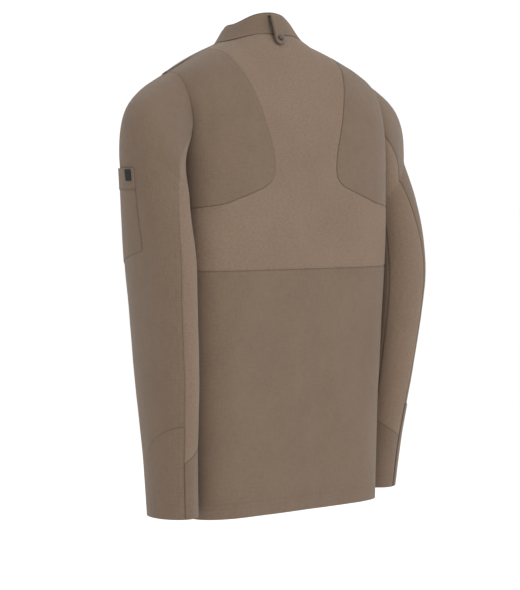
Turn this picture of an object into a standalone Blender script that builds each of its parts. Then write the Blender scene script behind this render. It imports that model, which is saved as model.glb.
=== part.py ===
"""Long-sleeved work jacket with a stand collar, as worn by nobody: shoulders filled, arms hanging.

Metres, +Z up. The wearer faces -Y and the wearer's left is +X. The origin is in the middle of the
neck, level with the shoulder seams at the side of the neck.

The torso is one smooth surface with two coordinates: an angle round the body, 0 at the centre back,
90 at the wearer's left side and 180 at the centre front, and a level, 0 at the hem, 1 at the shoulder
blades and 2 on the shoulder seam. Every torso panel is cut from it along its seams.
"""
import bmesh
import bpy
from math import acos, cos, degrees, radians, sin
from mathutils import Matrix, Vector

# driving dimensions
HEM_Z = -0.735              # lower edge of the body
CUFF_Z = -0.725             # lower edge of the sleeves
BLADE_Z = -0.205            # level of the shoulder blades
UNDERARM_Z = -0.245         # lowest point of the armhole
BAND_TOP_Z = -0.267         # mesh band across the back, at the side
BAND_BOTTOM_Z = -0.358
NECK_HALF = 0.075           # half width of the neck hole
NECK_BACK = 0.043           # how far the neck hole reaches back
NECK_FRONT = 0.085          # how far it reaches forward
NECK_Z = -0.004             # shoulder seam at the neck
TIP_X = 0.194               # shoulder seam at the armhole
SHOULDER_DROP = 0.055
SHOULDER_BACK = 0.014       # how far behind the origin the shoulder seam ends
NECK_CROWN, NECK_DIP = 0.032, -0.030      # rise of the closed surface inside the neck
COLLAR_RISE = 0.033
COLLAR_LEAN = 0.79          # size of the collar's top edge against its seam
CLOTH = 0.002               # thickness of a panel
SEAM_GAP = 0.0004           # clearance on each side of a seam
PLACKET_HALF = 0.020
ELBOW_Z = -0.400
STRIP_END_Z = -0.632        # lower end of the mesh strip in the sleeve
SIDE_SEAM_BACK = 80.0       # angles of the two seams of the side panel
SIDE_SEAM_FRONT = 100.0
ARMHOLE_BEND = 1.3          # level under which the armhole turns in to the underarm

# body sections by height: half width, depth behind and in front of the origin, spread of the back corners
HALF_WIDTH = ((HEM_Z, 0.181), (-0.60, 0.184), (-0.47, 0.189), (-0.33, 0.194), (BLADE_Z, 0.200))
BACK_DEPTH = ((HEM_Z, 0.104), (-0.47, 0.107), (-0.33, 0.112), (BLADE_Z, 0.114))
FRONT_DEPTH = ((HEM_Z, 0.112), (-0.47, 0.120), (-0.33, 0.124), (BLADE_Z, 0.118))
SPREAD = ((HEM_Z, 0.70), (-0.33, 0.75), (BLADE_Z, 0.30))
SPREAD_FROM = 0.03
BACK_SQUARE = 5.0
FRONT_SQUARE = 3.2

# sleeves by height: how far out the middle is, how far back on the left and on the right,
# half width and half depth
SLEEVE_OUT = ((-0.19, 0.251), (-0.26, 0.249), (-0.34, 0.242), (-0.40, 0.238), (-0.52, 0.231),
              (-0.64, 0.225), (CUFF_Z, 0.221))
SLEEVE_BACK = {
    "left": ((-0.19, 0.057), (-0.26, 0.062), (CUFF_Z, 0.064)),
    "right": ((-0.19, -0.007), (-0.26, 0.026), (-0.34, 0.045), (-0.40, 0.050), (-0.52, 0.038),
              (-0.64, 0.026), (CUFF_Z, 0.019)),
}
SLEEVE_WIDE = ((-0.19, 0.048), (-0.26, 0.046), (-0.40, 0.042), (-0.52, 0.039), (-0.64, 0.036),
               (CUFF_Z, 0.035))
SLEEVE_DEEP = ((-0.19, 0.052), (-0.26, 0.058), (-0.34, 0.068), (-0.40, 0.067), (-0.52, 0.063),
               (-0.64, 0.050), (CUFF_Z, 0.046))
STRIP_FROM = ((-0.20, 98.0), (-0.36, 76.0), (STRIP_END_Z, 74.0))    # back seam of the mesh strip
STRIP_TO = 150.0                                                      # its seam at the underarm
AROUND = 14                 # faces round the woven part of a sleeve
SLEEVE_GAP = 0.0058         # clearance between the armhole and the sleeve's edge
PATCH_TOP_Z = -0.586        # forearm patch: its top at the back, and how far that drops at the outside
PATCH_DROP = 0.034
PATCH_FROM, PATCH_TO = 74.0, -2.0
ON_TOP = 0.0026             # a piece sewn on a sleeve stands this far out
THIN_CLOTH = 0.0012

SNAP_Z = (-0.117, -0.225, -0.325, -0.425, -0.525, -0.625)
SNAP_SIDES = 12

WOVEN = ((0.205, 0.150, 0.108), 0.85, 0.0)
MESH_KNIT = ((0.247, 0.184, 0.126), 0.9, 0.0)
GUNMETAL = ((0.09, 0.085, 0.08), 0.35, 0.9)
BLACK_TAPE = ((0.012, 0.012, 0.013), 0.6, 0.0)

# hinge lines: a point on each, and for the arms the wearer's left (the right is its mirror image)
SHOULDER_PIVOT = (TIP_X, 0.0, NECK_Z - SHOULDER_DROP + 0.002)
ELBOW_PIVOT = {"left": (0.238, -0.006, ELBOW_Z), "right": (-0.238, -0.020, ELBOW_Z)}
FRONT_PIVOT = (0.1895, -0.033, -0.45)      # on a line that leans with the side seam

for old in list(bpy.data.objects):
    bpy.data.objects.remove(old)


def material(name, look):
    made = bpy.data.materials.get(name) or bpy.data.materials.new(name)
    made.use_nodes = True
    shader = made.node_tree.nodes["Principled BSDF"]
    shader.inputs["Base Color"].default_value = (*look[0], 1.0)
    shader.inputs["Roughness"].default_value = look[1]
    shader.inputs["Metallic"].default_value = look[2]
    return made


def smooth(points, at):
    """A smooth curve through (position, value) points, level past both ends."""
    points = sorted(points)
    if at <= points[0][0]:
        return points[0][1]
    if at >= points[-1][0]:
        return points[-1][1]
    i = max(k for k in range(len(points) - 1) if points[k][0] <= at)

    def slope(k):
        a, b = points[max(k - 1, 0)], points[min(k + 1, len(points) - 1)]
        return (b[1] - a[1]) / (b[0] - a[0])
    (x0, y0), (x1, y1) = points[i], points[i + 1]
    h = x1 - x0
    s = (at - x0) / h
    rise = (1 + 2 * s) * (1 - s) ** 2 * y0 + s * s * (3 - 2 * s) * y1
    return rise + h * (s * (1 - s) ** 2 * slope(i) - s * s * (1 - s) * slope(i + 1))


def mix(a, b, t):
    return tuple(p + (q - p) * t for p, q in zip(a, b))


# ---- the torso surface --------------------------------------------------------------------------------

def shoulder_top(x, front):
    """Height and depth of the shoulder seam at x. Inside the neck the surface closes over, smoothly."""
    out = (abs(x) - NECK_HALF) / (TIP_X - NECK_HALF)
    if out < 0:
        crown = 1 - (x / NECK_HALF) ** 2
        slope_on = 0.85 * SHOULDER_DROP * NECK_HALF / (TIP_X - NECK_HALF) / 2
        rest = (NECK_DIP if front else NECK_CROWN) - slope_on
        return NECK_Z + slope_on * crown + rest * crown ** 1.5, 0.0
    drop = SHOULDER_DROP * out * (0.85 + 0.15 * out)
    return NECK_Z - drop, SHOULDER_BACK * out * out * (3 - 2 * out)


def arch_power(x, front):
    out = min(1.0, abs(x) / 0.11)
    return 1.0 if front else 1.05 - 0.25 * out * out * (3 - 2 * out)


def section(angle, z):
    s, c = sin(radians(angle)), cos(radians(angle))
    front = c < 0
    n = FRONT_SQUARE if front else BACK_SQUARE
    wide, deep = smooth(HALF_WIDTH, z), smooth(FRONT_DEPTH if front else BACK_DEPTH, z)
    r = ((abs(s) / wide) ** n + (abs(c) / deep) ** n) ** (-1 / n)
    y = r * c
    return r * s * (1 + smooth(SPREAD, z) * (y - SPREAD_FROM)), y


def torso(angle, level):
    z = HEM_Z + (BLADE_Z - HEM_Z) * min(level, 1.0)
    x, y = section(angle, z)
    if level <= 1:
        return Vector((x, y, z))
    front = cos(radians(angle)) < 0
    turn = min((level - 1) * 90.0, 90.0)
    top, seam_y = shoulder_top(x, front)
    p = arch_power(x, front)
    rise, run = sin(radians(turn)) ** p, max(cos(radians(turn)), 0.0) ** p
    return Vector((x, seam_y + (y - seam_y) * run, BLADE_Z + (top - BLADE_Z) * rise))


def level_at(z):
    return (z - HEM_Z) / (BLADE_Z - HEM_Z)


def angle_at(x, z, front=False):
    """The angle at which the section at height z is x out, found by halving."""
    low, high = (100.0, 180.0) if front else (0.0, 66.0)
    z = min(z, BLADE_Z)
    for _ in range(40):
        middle = (low + high) / 2
        wider = section(middle, z)[0] > x
        if wider == front:
            low = middle
        else:
            high = middle
    return (low + high) / 2


def place(x, z, front=False):
    """The surface coordinates of the point x out and z up."""
    angle = angle_at(x, z, front)
    if z <= BLADE_Z:
        return angle, level_at(z)
    top, _ = shoulder_top(x, front)
    share = min(max((z - BLADE_Z) / (top - BLADE_Z), 0.0), 1.0)
    turn = 90.0 - degrees(acos(share ** (1 / arch_power(x, front))))
    return angle, 1 + turn / 90.0


def neck_edge(turn):
    """The surface coordinates of the neck seam: turn 0 is the centre back, 180 the centre front."""
    front = turn > 90
    x = NECK_HALF * sin(radians(turn))
    y = (NECK_FRONT if front else NECK_BACK) * cos(radians(turn))
    angle = angle_at(x, BLADE_Z, front)
    reach = min(abs(y / section(angle, BLADE_Z)[1]), 1.0)
    return angle, 1 + degrees(acos(reach ** (1 / arch_power(x, front)))) / 90.0


TIP_BACK = angle_at(TIP_X, BLADE_Z)
TIP_FRONT = angle_at(TIP_X, BLADE_Z, True)


def armhole(share, front=False):
    """The surface coordinates of the armhole: share 0 on the shoulder, 1 under the arm."""
    tip = TIP_FRONT if front else TIP_BACK
    straight = 0.45
    if share <= straight:
        return tip, 2 - (2 - ARMHOLE_BEND) * share / straight
    turn = radians(90.0 * (share - straight) / (1 - straight))
    return 90 - (90 - tip) * cos(turn), ARMHOLE_BEND - (ARMHOLE_BEND - level_at(UNDERARM_Z)) * sin(turn)


def armhole_share(angle, front=False):
    """Where the armhole crosses a side seam."""
    tip = TIP_FRONT if front else TIP_BACK
    return 0.45 + 0.55 * degrees(acos((90 - angle) / (90 - tip))) / 90.0


def run(first, last, steps):
    """Evenly spaced points from first to last."""
    return [mix(first, last, k / steps) for k in range(steps + 1)]


# ---- making solids from grids -------------------------------------------------------------------------

def solid(name, outer, inner, look, closed=False):
    """A closed shell between two grids of points. closed joins each row's ends into a ring."""
    rows, cols = len(outer), len(outer[0])
    points = [p for row in outer for p in row] + [p for row in inner for p in row]
    under = rows * cols

    def at(r, c, side=0):
        return side * under + r * cols + c % cols
    faces = []
    across = cols if closed else cols - 1
    for r in range(rows - 1):
        for c in range(across):
            faces.append((at(r, c), at(r, c + 1), at(r + 1, c + 1), at(r + 1, c)))
            faces.append((at(r, c, 1), at(r + 1, c, 1), at(r + 1, c + 1, 1), at(r, c + 1, 1)))
    for c in range(across):
        faces.append((at(0, c + 1), at(0, c), at(0, c, 1), at(0, c + 1, 1)))
        faces.append((at(rows - 1, c), at(rows - 1, c + 1), at(rows - 1, c + 1, 1), at(rows - 1, c, 1)))
    if not closed:
        for r in range(rows - 1):
            faces.append((at(r, 0), at(r + 1, 0), at(r + 1, 0, 1), at(r, 0, 1)))
            faces.append((at(r + 1, cols - 1), at(r, cols - 1), at(r, cols - 1, 1), at(r + 1, cols - 1, 1)))
    mesh = bpy.data.meshes.new(name)
    mesh.from_pydata([tuple(p) for p in points], [], faces)
    mesh.update()
    return add(name, mesh, look)


def add(name, mesh, look):
    shape = bmesh.new()
    shape.from_mesh(mesh)
    bmesh.ops.recalc_face_normals(shape, faces=shape.faces)
    if shape.calc_volume(signed=True) < 0:
        bmesh.ops.reverse_faces(shape, faces=shape.faces)
    bmesh.ops.triangulate(shape, faces=shape.faces)
    shape.to_mesh(mesh)
    shape.free()
    piece = bpy.data.objects.new(name, mesh)
    bpy.context.scene.collection.objects.link(piece)
    mesh.materials.append(material(*look))
    mesh.shade_smooth()
    mesh.set_sharp_from_angle(angle=radians(40))
    return piece


def coons(low, high, left, right):
    """Surface coordinates inside four edges. low and high run left to right, left and right run up."""
    across, up = len(low) - 1, len(left) - 1
    grid = []
    for j in range(up + 1):
        t = j / up
        row = []
        for i in range(across + 1):
            s = i / across
            row.append(tuple(
                (1 - t) * low[i][k] + t * high[i][k] + (1 - s) * left[j][k] + s * right[j][k]
                - (1 - s) * (1 - t) * low[0][k] - s * (1 - t) * low[-1][k]
                - (1 - s) * t * high[0][k] - s * t * high[-1][k] for k in (0, 1)))
        grid.append(row)
    return grid


def torso_normal(angle, level):
    a, b = torso(angle - 0.5, level), torso(angle + 0.5, level)
    c, d = torso(angle, max(level - 0.01, 0)), torso(angle, min(level + 0.01, 2))
    return (d - c).cross(b - a).normalized()


def draw_in(points, gap=SEAM_GAP):
    """Moves the four edges of a grid of points in by the seam's clearance."""
    rows, cols = len(points), len(points[0])
    fresh = [[p.copy() for p in row] for row in points]
    for c in range(cols):
        fresh[0][c] += (points[1][c] - points[0][c]).normalized() * gap
        fresh[-1][c] += (points[-2][c] - points[-1][c]).normalized() * gap
    for r in range(rows):
        fresh[r][0] += (points[r][1] - points[r][0]).normalized() * gap
        fresh[r][-1] += (points[r][-2] - points[r][-1]).normalized() * gap
    return fresh


def flip(points):
    return [[Vector((-p.x, p.y, p.z)) for p in row] for row in points]


def panel(name, spots, look, lift=0.0, thick=CLOTH, mirrored=False):
    """A torso panel: a grid of surface coordinates given its thickness inwards."""
    skin = draw_in([[torso(*spot) for spot in row] for row in spots])
    ways = [[torso_normal(*spot) for spot in row] for row in spots]
    outer = [[p + n * lift for p, n in zip(*rows)] for rows in zip(skin, ways)]
    inner = [[p + n * (lift - thick) for p, n in zip(*rows)] for rows in zip(skin, ways)]
    if mirrored:
        outer, inner = flip(outer), flip(inner)
    return solid(name, outer, inner, look)


WOVEN_LOOK = ("woven_cloth", WOVEN)
MESH_LOOK = ("mesh_knit", MESH_KNIT)
METAL_LOOK = ("gunmetal", GUNMETAL)
TAPE_LOOK = ("black_tape", BLACK_TAPE)

# ---- back ---------------------------------------------------------------------------------------------
SHOULDER_MARK_X = 0.112         # where the mesh meets the shoulder seam
BAND_STEPS, SEAM_STEPS, SIDE_STEPS = 5, 6, 2
band_corner = (SIDE_SEAM_BACK, level_at(BAND_TOP_Z - 0.003))
band_top = [place(x, z) for x, z in (
    (0.0635, -0.212), (0.076, -0.229), (0.101, -0.240), (0.130, -0.250), (0.165, -0.260))] + [band_corner]
yoke_seam = [place(x, z) for x, z in (
    (0.0635, -0.212), (0.0645, -0.180), (0.0755, -0.140), (0.087, -0.100), (0.098, -0.065), (0.107, -0.038))]
yoke_seam.append((angle_at(SHOULDER_MARK_X, BLADE_Z), 2.0))
band_side = run((SIDE_SEAM_BACK, level_at(BAND_BOTTOM_Z)), band_corner, SIDE_STEPS)
mesh_edge = band_side + band_top[-2::-1] + yoke_seam[1:]
NECK_STEPS, SHOULDER_STEPS = 5, 1
mesh_top = [neck_edge(90 * k / NECK_STEPS) for k in range(NECK_STEPS + 1)] + [yoke_seam[-1]]


def both_sides(half):
    """A left-hand edge from the centre back outwards, joined to its mirror image."""
    return [(-a, v) for a, v in half[:0:-1]] + half


def make_back():
    steps = len(mesh_top) - 1
    bottom = run((0.0, level_at(BAND_BOTTOM_Z)), band_side[0], steps)
    lower = run((0.0, 0.0), (SIDE_SEAM_BACK, 0.0), steps)
    lower_side = run(lower[-1], bottom[-1], 5)
    panel("lower_back_panel",
          coons(both_sides(lower), both_sides(bottom), [(-a, v) for a, v in lower_side], lower_side),
          WOVEN_LOOK)
    panel("mesh_back_yoke",
          coons(both_sides(bottom), both_sides(mesh_top), [(-a, v) for a, v in mesh_edge], mesh_edge),
          MESH_LOOK)
    crossing = armhole_share(SIDE_SEAM_BACK)
    shares = [crossing * (1 - k / (SEAM_STEPS - 1)) for k in range(SEAM_STEPS)]
    outer_edge = [band_corner] + [armhole(share) for share in shares]
    top = run(yoke_seam[-1], (TIP_BACK, 2.0), BAND_STEPS)
    for side in ("left", "right"):
        panel(side + "_back_shoulder", coons(band_top, top, yoke_seam, outer_edge), WOVEN_LOOK,
              mirrored=side == "right")


# ---- sides and front ----------------------------------------------------------------------------------
FRONT_ARM_SHARE = 0.45          # the front yoke seam meets the armhole where it starts to bend
NECK_END = 180 - degrees(acos((1 - (PLACKET_HALF / NECK_HALF) ** 2) ** 0.5))


def make_front():
    neck_point = neck_edge(NECK_END)
    yoke_low = run(neck_point, armhole(FRONT_ARM_SHARE, True), 5)
    neck_side = [neck_edge(NECK_END + (90 - NECK_END) * k / 5) for k in range(6)]
    arm_side = [armhole(FRONT_ARM_SHARE * (1 - k / 5), True) for k in range(6)]
    shoulder = run((angle_at(NECK_HALF, BLADE_Z, True), 2.0), (TIP_FRONT, 2.0), 5)
    back_share, front_share = armhole_share(SIDE_SEAM_BACK), armhole_share(SIDE_SEAM_FRONT, True)
    side_top = [armhole(back_share), armhole((1 + back_share) / 2), armhole(1.0),
                armhole((1 + front_share) / 2, True), armhole(front_share, True)]
    side_low = run((SIDE_SEAM_BACK, 0.0), (SIDE_SEAM_FRONT, 0.0), 4)
    front_seam = run(side_low[-1], side_top[-1], 6)
    arm_low = [armhole(front_share + (FRONT_ARM_SHARE - front_share) * k / 2, True) for k in (1, 2)]
    outer_edge = front_seam + arm_low
    rows = len(outer_edge) - 1
    edge_x = PLACKET_HALF
    top_z = torso(*neck_point).z
    middle = [place(edge_x, HEM_Z + (top_z - HEM_Z) * k / rows, True) for k in range(rows)] + [neck_point]
    hem = run(middle[0], front_seam[0], 5)
    for side in ("left", "right"):
        mirrored = side == "right"
        panel(side + "_front_yoke", coons(yoke_low, shoulder, neck_side, arm_side), WOVEN_LOOK,
              mirrored=mirrored)
        panel(side + "_side_panel",
              coons(side_low, side_top, run(side_low[0], side_top[0], 6), front_seam), WOVEN_LOOK,
              mirrored=mirrored)
        panel(side + "_front_panel", coons(hem, yoke_low, middle, outer_edge), WOVEN_LOOK,
              mirrored=mirrored)
    columns = [placket_column(x) for x in (edge_x, edge_x / 2, 0.0)]
    strip = [[column[r] for column in columns[:2]] for r in range(len(columns[0]))]
    whole = [row + [(180.0, columns[2][r][1])] + [(360 - a, v) for a, v in row[::-1]]
             for r, row in enumerate(strip)]
    panel("left_placket", whole, WOVEN_LOOK)
    panel("right_placket", whole, WOVEN_LOOK, lift=-UNDERLAP_DEPTH, mirrored=True)


UNDERLAP_DEPTH = 0.0050
PLACKET_Z = (HEM_Z, -0.60, -0.47, -0.34, -0.25, BLADE_Z, -0.17, -0.145, -0.125, -0.108)


def placket_column(x):
    """One column of the placket from the hem to the neck seam."""
    turn = 180 - degrees(acos((1 - (x / NECK_HALF) ** 2) ** 0.5))
    return [place(x, z, True) for z in PLACKET_Z] + [neck_edge(min(turn, 179.99))]


def front_spot(z):
    """The middle of the placket's flat facet at height z, and the way it faces."""
    line = [torso(*spot) for spot in placket_column(0.0)]
    for low, high in zip(line, line[1:]):
        if low.z <= z <= high.z:
            point = low.lerp(high, (z - low.z) / (high.z - low.z))
            along = high - low
            return Vector((0, point.y, point.z)), Vector((0, -along.z, along.y)).normalized()


CAP_RADIUS, CAP_HEIGHT = 0.0075, 0.0026
STUD_RADIUS, STUD_HEIGHT = 0.0050, 0.0022


def disc(name, centre, way, radius, height):
    """A snap part: a flat-topped button with a bevelled rim, standing on centre along way."""
    shape = bmesh.new()
    bmesh.ops.create_cone(shape, cap_ends=True, segments=SNAP_SIDES, radius1=radius, radius2=radius,
                          depth=height)
    rim = [edge for edge in shape.edges if all(v.co.z > 0 for v in edge.verts)]
    bmesh.ops.bevel(shape, geom=rim, offset=height / 2, segments=1, affect="EDGES")
    turn = Vector(way).to_track_quat("Z", "Y").to_matrix().to_4x4()
    stand = Matrix.Translation(centre) @ turn @ Matrix.Translation((0, 0, height / 2))
    bmesh.ops.transform(shape, matrix=stand, verts=shape.verts)
    mesh = bpy.data.meshes.new(name)
    shape.to_mesh(mesh)
    shape.free()
    return add(name, mesh, METAL_LOOK)


def make_snaps():
    for number, z in enumerate(SNAP_Z, 1):
        point, way = front_spot(z)
        disc("front_snap_cap_%d" % number, point + way * 0.0005, way, CAP_RADIUS, CAP_HEIGHT)
        disc("front_snap_stud_%d" % number, point - way * (UNDERLAP_DEPTH - 0.0003), way, STUD_RADIUS,
             STUD_HEIGHT)


# ---- collar -------------------------------------------------------------------------------------------
COLLAR_END = 178.0              # the collar stops this far round from the centre back on each side
NECK_MIDDLE_Y = -0.020
COLLAR_BASE = 0.0012            # the collar stands this far above the neck seam
LINING_DEPTH = 0.0027           # the collar's inner layer starts this far behind its outside
FRONT_FALL = 0.006              # the collar is this much lower at the front
TAB_HALF, TAB_THICK = 0.008, 0.0025
TAB_REACH = Vector((0.009, 0.029, -0.053))      # from the tab's hinge to its free end, a little askew
TAB_SHAPE = ((0.0, 1.0), (0.25, 1.0), (0.5, 1.0), (0.75, 1.0), (0.9, 0.86), (1.0, 0.45))
TAB_SNAP_AT = 0.84
TAB_CAP_RADIUS, TAB_CAP_HEIGHT = 0.0048, 0.0022
TAB_STUD_RADIUS, TAB_STUD_HEIGHT, TAB_STUD_DEPTH = 0.0040, 0.0025, 0.0060
LOOP_HALF, LOOP_SAG, LOOP_BOW = 0.030, 0.014, 0.006
LOOP_STEPS, LOOP_TAPE, LOOP_THICK = 8, 0.003, 0.0015
LOOP_Z = 0.004


def collar_point(turn, share, depth):
    """A point of the collar: share 0 at its seam, 1 at its top edge, depth inwards from its outside."""
    base = torso(*neck_edge(min(abs(turn), 179.99)))
    x, y = base.x * (1 if turn >= 0 else -1), base.y
    size = 1 + (COLLAR_LEAN - 1) * share
    out = Vector((x, y - NECK_MIDDLE_Y, 0)).normalized()
    rise = COLLAR_RISE - FRONT_FALL * min(abs(turn) / 120, 1.0)
    point = Vector((x * size, NECK_MIDDLE_Y + (y - NECK_MIDDLE_Y) * size,
                    base.z + COLLAR_BASE + rise * share))
    return point - out * depth


def make_collar():
    half = [90 * k / NECK_STEPS for k in range(NECK_STEPS + 1)]
    half += [90 + (NECK_END - 90) * k / 5 for k in range(1, 6)] + [(NECK_END + COLLAR_END) / 2, COLLAR_END]
    turns = [-turn for turn in half[:0:-1]] + half
    for name, depth in (("collar_outer", 0.0), ("collar_inner", LINING_DEPTH)):
        solid(name, [[collar_point(t, s, depth) for t in turns] for s in (0, 0.5, 1)],
              [[collar_point(t, s, depth + CLOTH) for t in turns] for s in (0, 0.5, 1)], WOVEN_LOOK)


def make_tab():
    """The tab hangs from the collar's top edge over its seam; its free end is rounded."""
    outer, inner = [], []
    for share, width in TAB_SHAPE:
        middle = TAB_TOP + TAB_REACH * share
        outer.append([middle + Vector((TAB_HALF * width * k, 0, 0)) for k in (1, 0, -1)])
        inner.append([p - TAB_WAY * TAB_THICK for p in outer[-1]])
    solid("collar_tab", outer, inner, WOVEN_LOOK)
    seat = TAB_TOP + TAB_REACH * TAB_SNAP_AT
    disc("tab_snap_cap", seat + TAB_WAY * 0.0003, TAB_WAY, TAB_CAP_RADIUS, TAB_CAP_HEIGHT)
    disc("tab_snap_stud", seat - TAB_WAY * TAB_STUD_DEPTH, TAB_WAY, TAB_STUD_RADIUS, TAB_STUD_HEIGHT)


def make_hanger_loop():
    """A tape bowed down from the inside of the collar's seam."""
    line = []
    for share in (k / LOOP_STEPS * 2 - 1 for k in range(LOOP_STEPS + 1)):
        bow = 1 - share * share
        line.append(Vector((LOOP_HALF * share, LOOP_Y - LOOP_BOW * bow, LOOP_Z - LOOP_SAG * bow)))
    edges = Vector((0, 0, LOOP_TAPE)), Vector((0, 0, -LOOP_TAPE))
    back = Vector((0, -LOOP_THICK, 0))
    solid("hanger_loop", [[p + edge for p in line] for edge in edges],
          [[p + edge + back for p in line] for edge in edges], WOVEN_LOOK)


TAB_TOP = collar_point(0, 1.0, -0.0060) + Vector((0, 0, 0.002))
TAB_WAY = Vector((0, -TAB_REACH.z, TAB_REACH.y)).normalized()       # the way the tab faces
LOOP_Y = collar_point(0, 0.0, 0.0090).y

# ---- sleeves ------------------------------------------------------------------------------------------
def ring_point(side, around, z):
    """The sleeve's section at height z: around 0 is outermost, 90 the back, 180 beside the body."""
    out, back = smooth(SLEEVE_OUT, z), smooth(SLEEVE_BACK[side], z)
    a = radians(around)
    return Vector((out + smooth(SLEEVE_WIDE, z) * cos(a), back + smooth(SLEEVE_DEEP, z) * sin(a), z))


def cap_level(around):
    """Height at which the rounded head of the sleeve ends and the tube starts."""
    return -0.215 + 0.045 * cos(radians(around))


def sleeve(side, around, reach):
    """A point of the sleeve: reach 0 to 1 is its rounded head, and below it reach - 1 is the depth."""
    around = around % 360
    if reach >= 1:
        return ring_point(side, around, cap_level(around) - (reach - 1))
    front = around > 180
    share = (360 - around if front else around) / 180
    seam = torso(*armhole(share, front))
    end = ring_point(side, around, cap_level(around))
    c, s = cos(radians(around)), sin(radians(around))
    way = Vector((0.60 + 0.28 * c, 0.30 * s, -0.62 + 0.16 * c)).normalized()
    pull = 0.034 + 0.026 * c
    start = seam + way * SLEEVE_GAP
    first = seam + way * pull
    second = end + Vector((0, 0, pull + 0.006))
    t = reach
    return ((1 - t) ** 3 * start + 3 * (1 - t) ** 2 * t * first + 3 * (1 - t) * t * t * second
            + t ** 3 * end)


def at_height(around, z):
    """Sleeve coordinates of the tube at height z."""
    return around, 1 + cap_level(around) - z


def sleeve_normal(side, around, reach):
    a, b = sleeve(side, around - 2, reach), sleeve(side, around + 2, reach)
    c, d = sleeve(side, around, max(reach - 0.01, 0)), sleeve(side, around, reach + 0.01)
    return (b - a).cross(c - d).normalized()


def sleeve_panel(name, side, spots, look, lift=0.0, thick=CLOTH, closed=False,
                 bulge=None):
    """A sleeve panel: a grid of sleeve coordinates given its thickness inwards."""
    skin = [[sleeve(side, *spot) for spot in row] for row in spots]
    if not closed:
        skin = draw_in(skin)
    ways = [[sleeve_normal(side, *spot) for spot in row] for row in spots]
    rows, cols = len(spots) - 1, len(spots[0]) - 1

    def raised(r, c):
        return lift + (bulge(r / rows, c / cols) if bulge else 0.0)
    outer = [[skin[r][c] + ways[r][c] * raised(r, c) for c in range(cols + 1)] for r in range(rows + 1)]
    inner = [[skin[r][c] + ways[r][c] * (raised(r, c) - thick) for c in range(cols + 1)]
             for r in range(rows + 1)]
    if side == "right":
        outer, inner = flip(outer), flip(inner)
    return solid(name, outer, inner, look, closed)


def arounds(z, piece):
    """The angles round the sleeve at height z of its mesh strip or of the woven rest."""
    strip = piece == "strip"
    seam = smooth(STRIP_FROM, z)
    first, last, steps = (seam, STRIP_TO, 3) if strip else (STRIP_TO, seam + 360, AROUND)
    return [first + (last - first) * k / steps for k in range(steps + 1)]


def tube_spots(z_low, z_top, rows, piece):
    heights = [z_low + (z_top - z_low) * r / rows for r in range(rows + 1)]
    return [[at_height(a, z) for a in arounds(z, piece)] for z in heights]


def head_spots(z_low, rows, piece):
    """Rows from z_low up to the armhole; the tube's rows rise with the foot of the rounded head."""
    columns = range(len(arounds(z_low, piece)))
    top_angles = arounds(-0.20, piece)
    made = []
    for r in range(rows + 1):
        heights = [z_low + (cap_level(top_angles[k]) - z_low) * r / rows for k in columns]
        made.append([at_height(arounds(heights[k], piece)[k], heights[k]) for k in columns])
    return made + [[(a, reach) for a in top_angles] for reach in (0.66, 0.33, 0.0)]


def ring_spots(z_low, z_top, rows):
    turns = [360 * k / RING_SIDES for k in range(RING_SIDES)]
    heights = [z_low + (z_top - z_low) * r / rows for r in range(rows + 1)]
    return [[at_height(a, z) for a in turns] for z in heights]


RING_SIDES = 16
FACING_DEEP = 0.024         # the cuff's turned-in hem


def make_sleeve(side):
    for piece, part, look in (("sleeve", "sleeve", WOVEN_LOOK), ("strip", "mesh_strip", MESH_LOOK)):
        sleeve_panel("%s_upper_%s" % (side, part), side, head_spots(ELBOW_Z, 3, piece), look)
        sleeve_panel("%s_forearm_%s" % (side, part), side,
                     tube_spots(STRIP_END_Z, ELBOW_Z, 4, piece), look)
    sleeve_panel(side + "_cuff", side, ring_spots(CUFF_Z, STRIP_END_Z - 2 * SEAM_GAP, 2), WOVEN_LOOK,
                 closed=True)
    sleeve_panel(side + "_cuff_facing", side, ring_spots(CUFF_Z + 0.0005, CUFF_Z + FACING_DEEP, 1),
                 WOVEN_LOOK, lift=-CLOTH - 0.0005, thick=THIN_CLOTH, closed=True)
    rows, columns = 4, 5
    patch = []
    for r in range(rows + 1):
        row = []
        for k in range(columns + 1):
            high = PATCH_TOP_Z - PATCH_DROP * (k / columns) ** 2.2 - CUFF_Z
            row.append(at_height(PATCH_FROM + (PATCH_TO - PATCH_FROM) * k / columns,
                                 CUFF_Z + 0.001 + high * r / rows))
        patch.append(row)
    sleeve_panel(side + "_forearm_patch", side, patch, WOVEN_LOOK, lift=ON_TOP, thick=THIN_CLOTH)


# ---- sleeve pocket ------------------------------------------------------------------------------------
POCKET_FROM, POCKET_TO = -70.0, 16.0      # round the left sleeve, from the front edge to the back edge
POCKET_TOP_Z, POCKET_LOW_BACK_Z, POCKET_LOW_FRONT_Z = -0.205, -0.326, -0.352
POCKET_BULGE = 0.0056
MOUTH_DEEP = 0.031
LABEL_FROM, LABEL_TO = -2.0, 11.0
LABEL_TOP_Z, LABEL_LOW_Z = -0.2065, -0.2235


def bulge_at(across, up=1.0):
    """How far the pocket stands off the sleeve; nothing at its sewn edges."""
    if not 0 < across < 1:
        return 0.0
    return POCKET_BULGE * sin(radians(180 * across)) ** 0.7 * (1 - (1 - up) ** 3)


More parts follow.
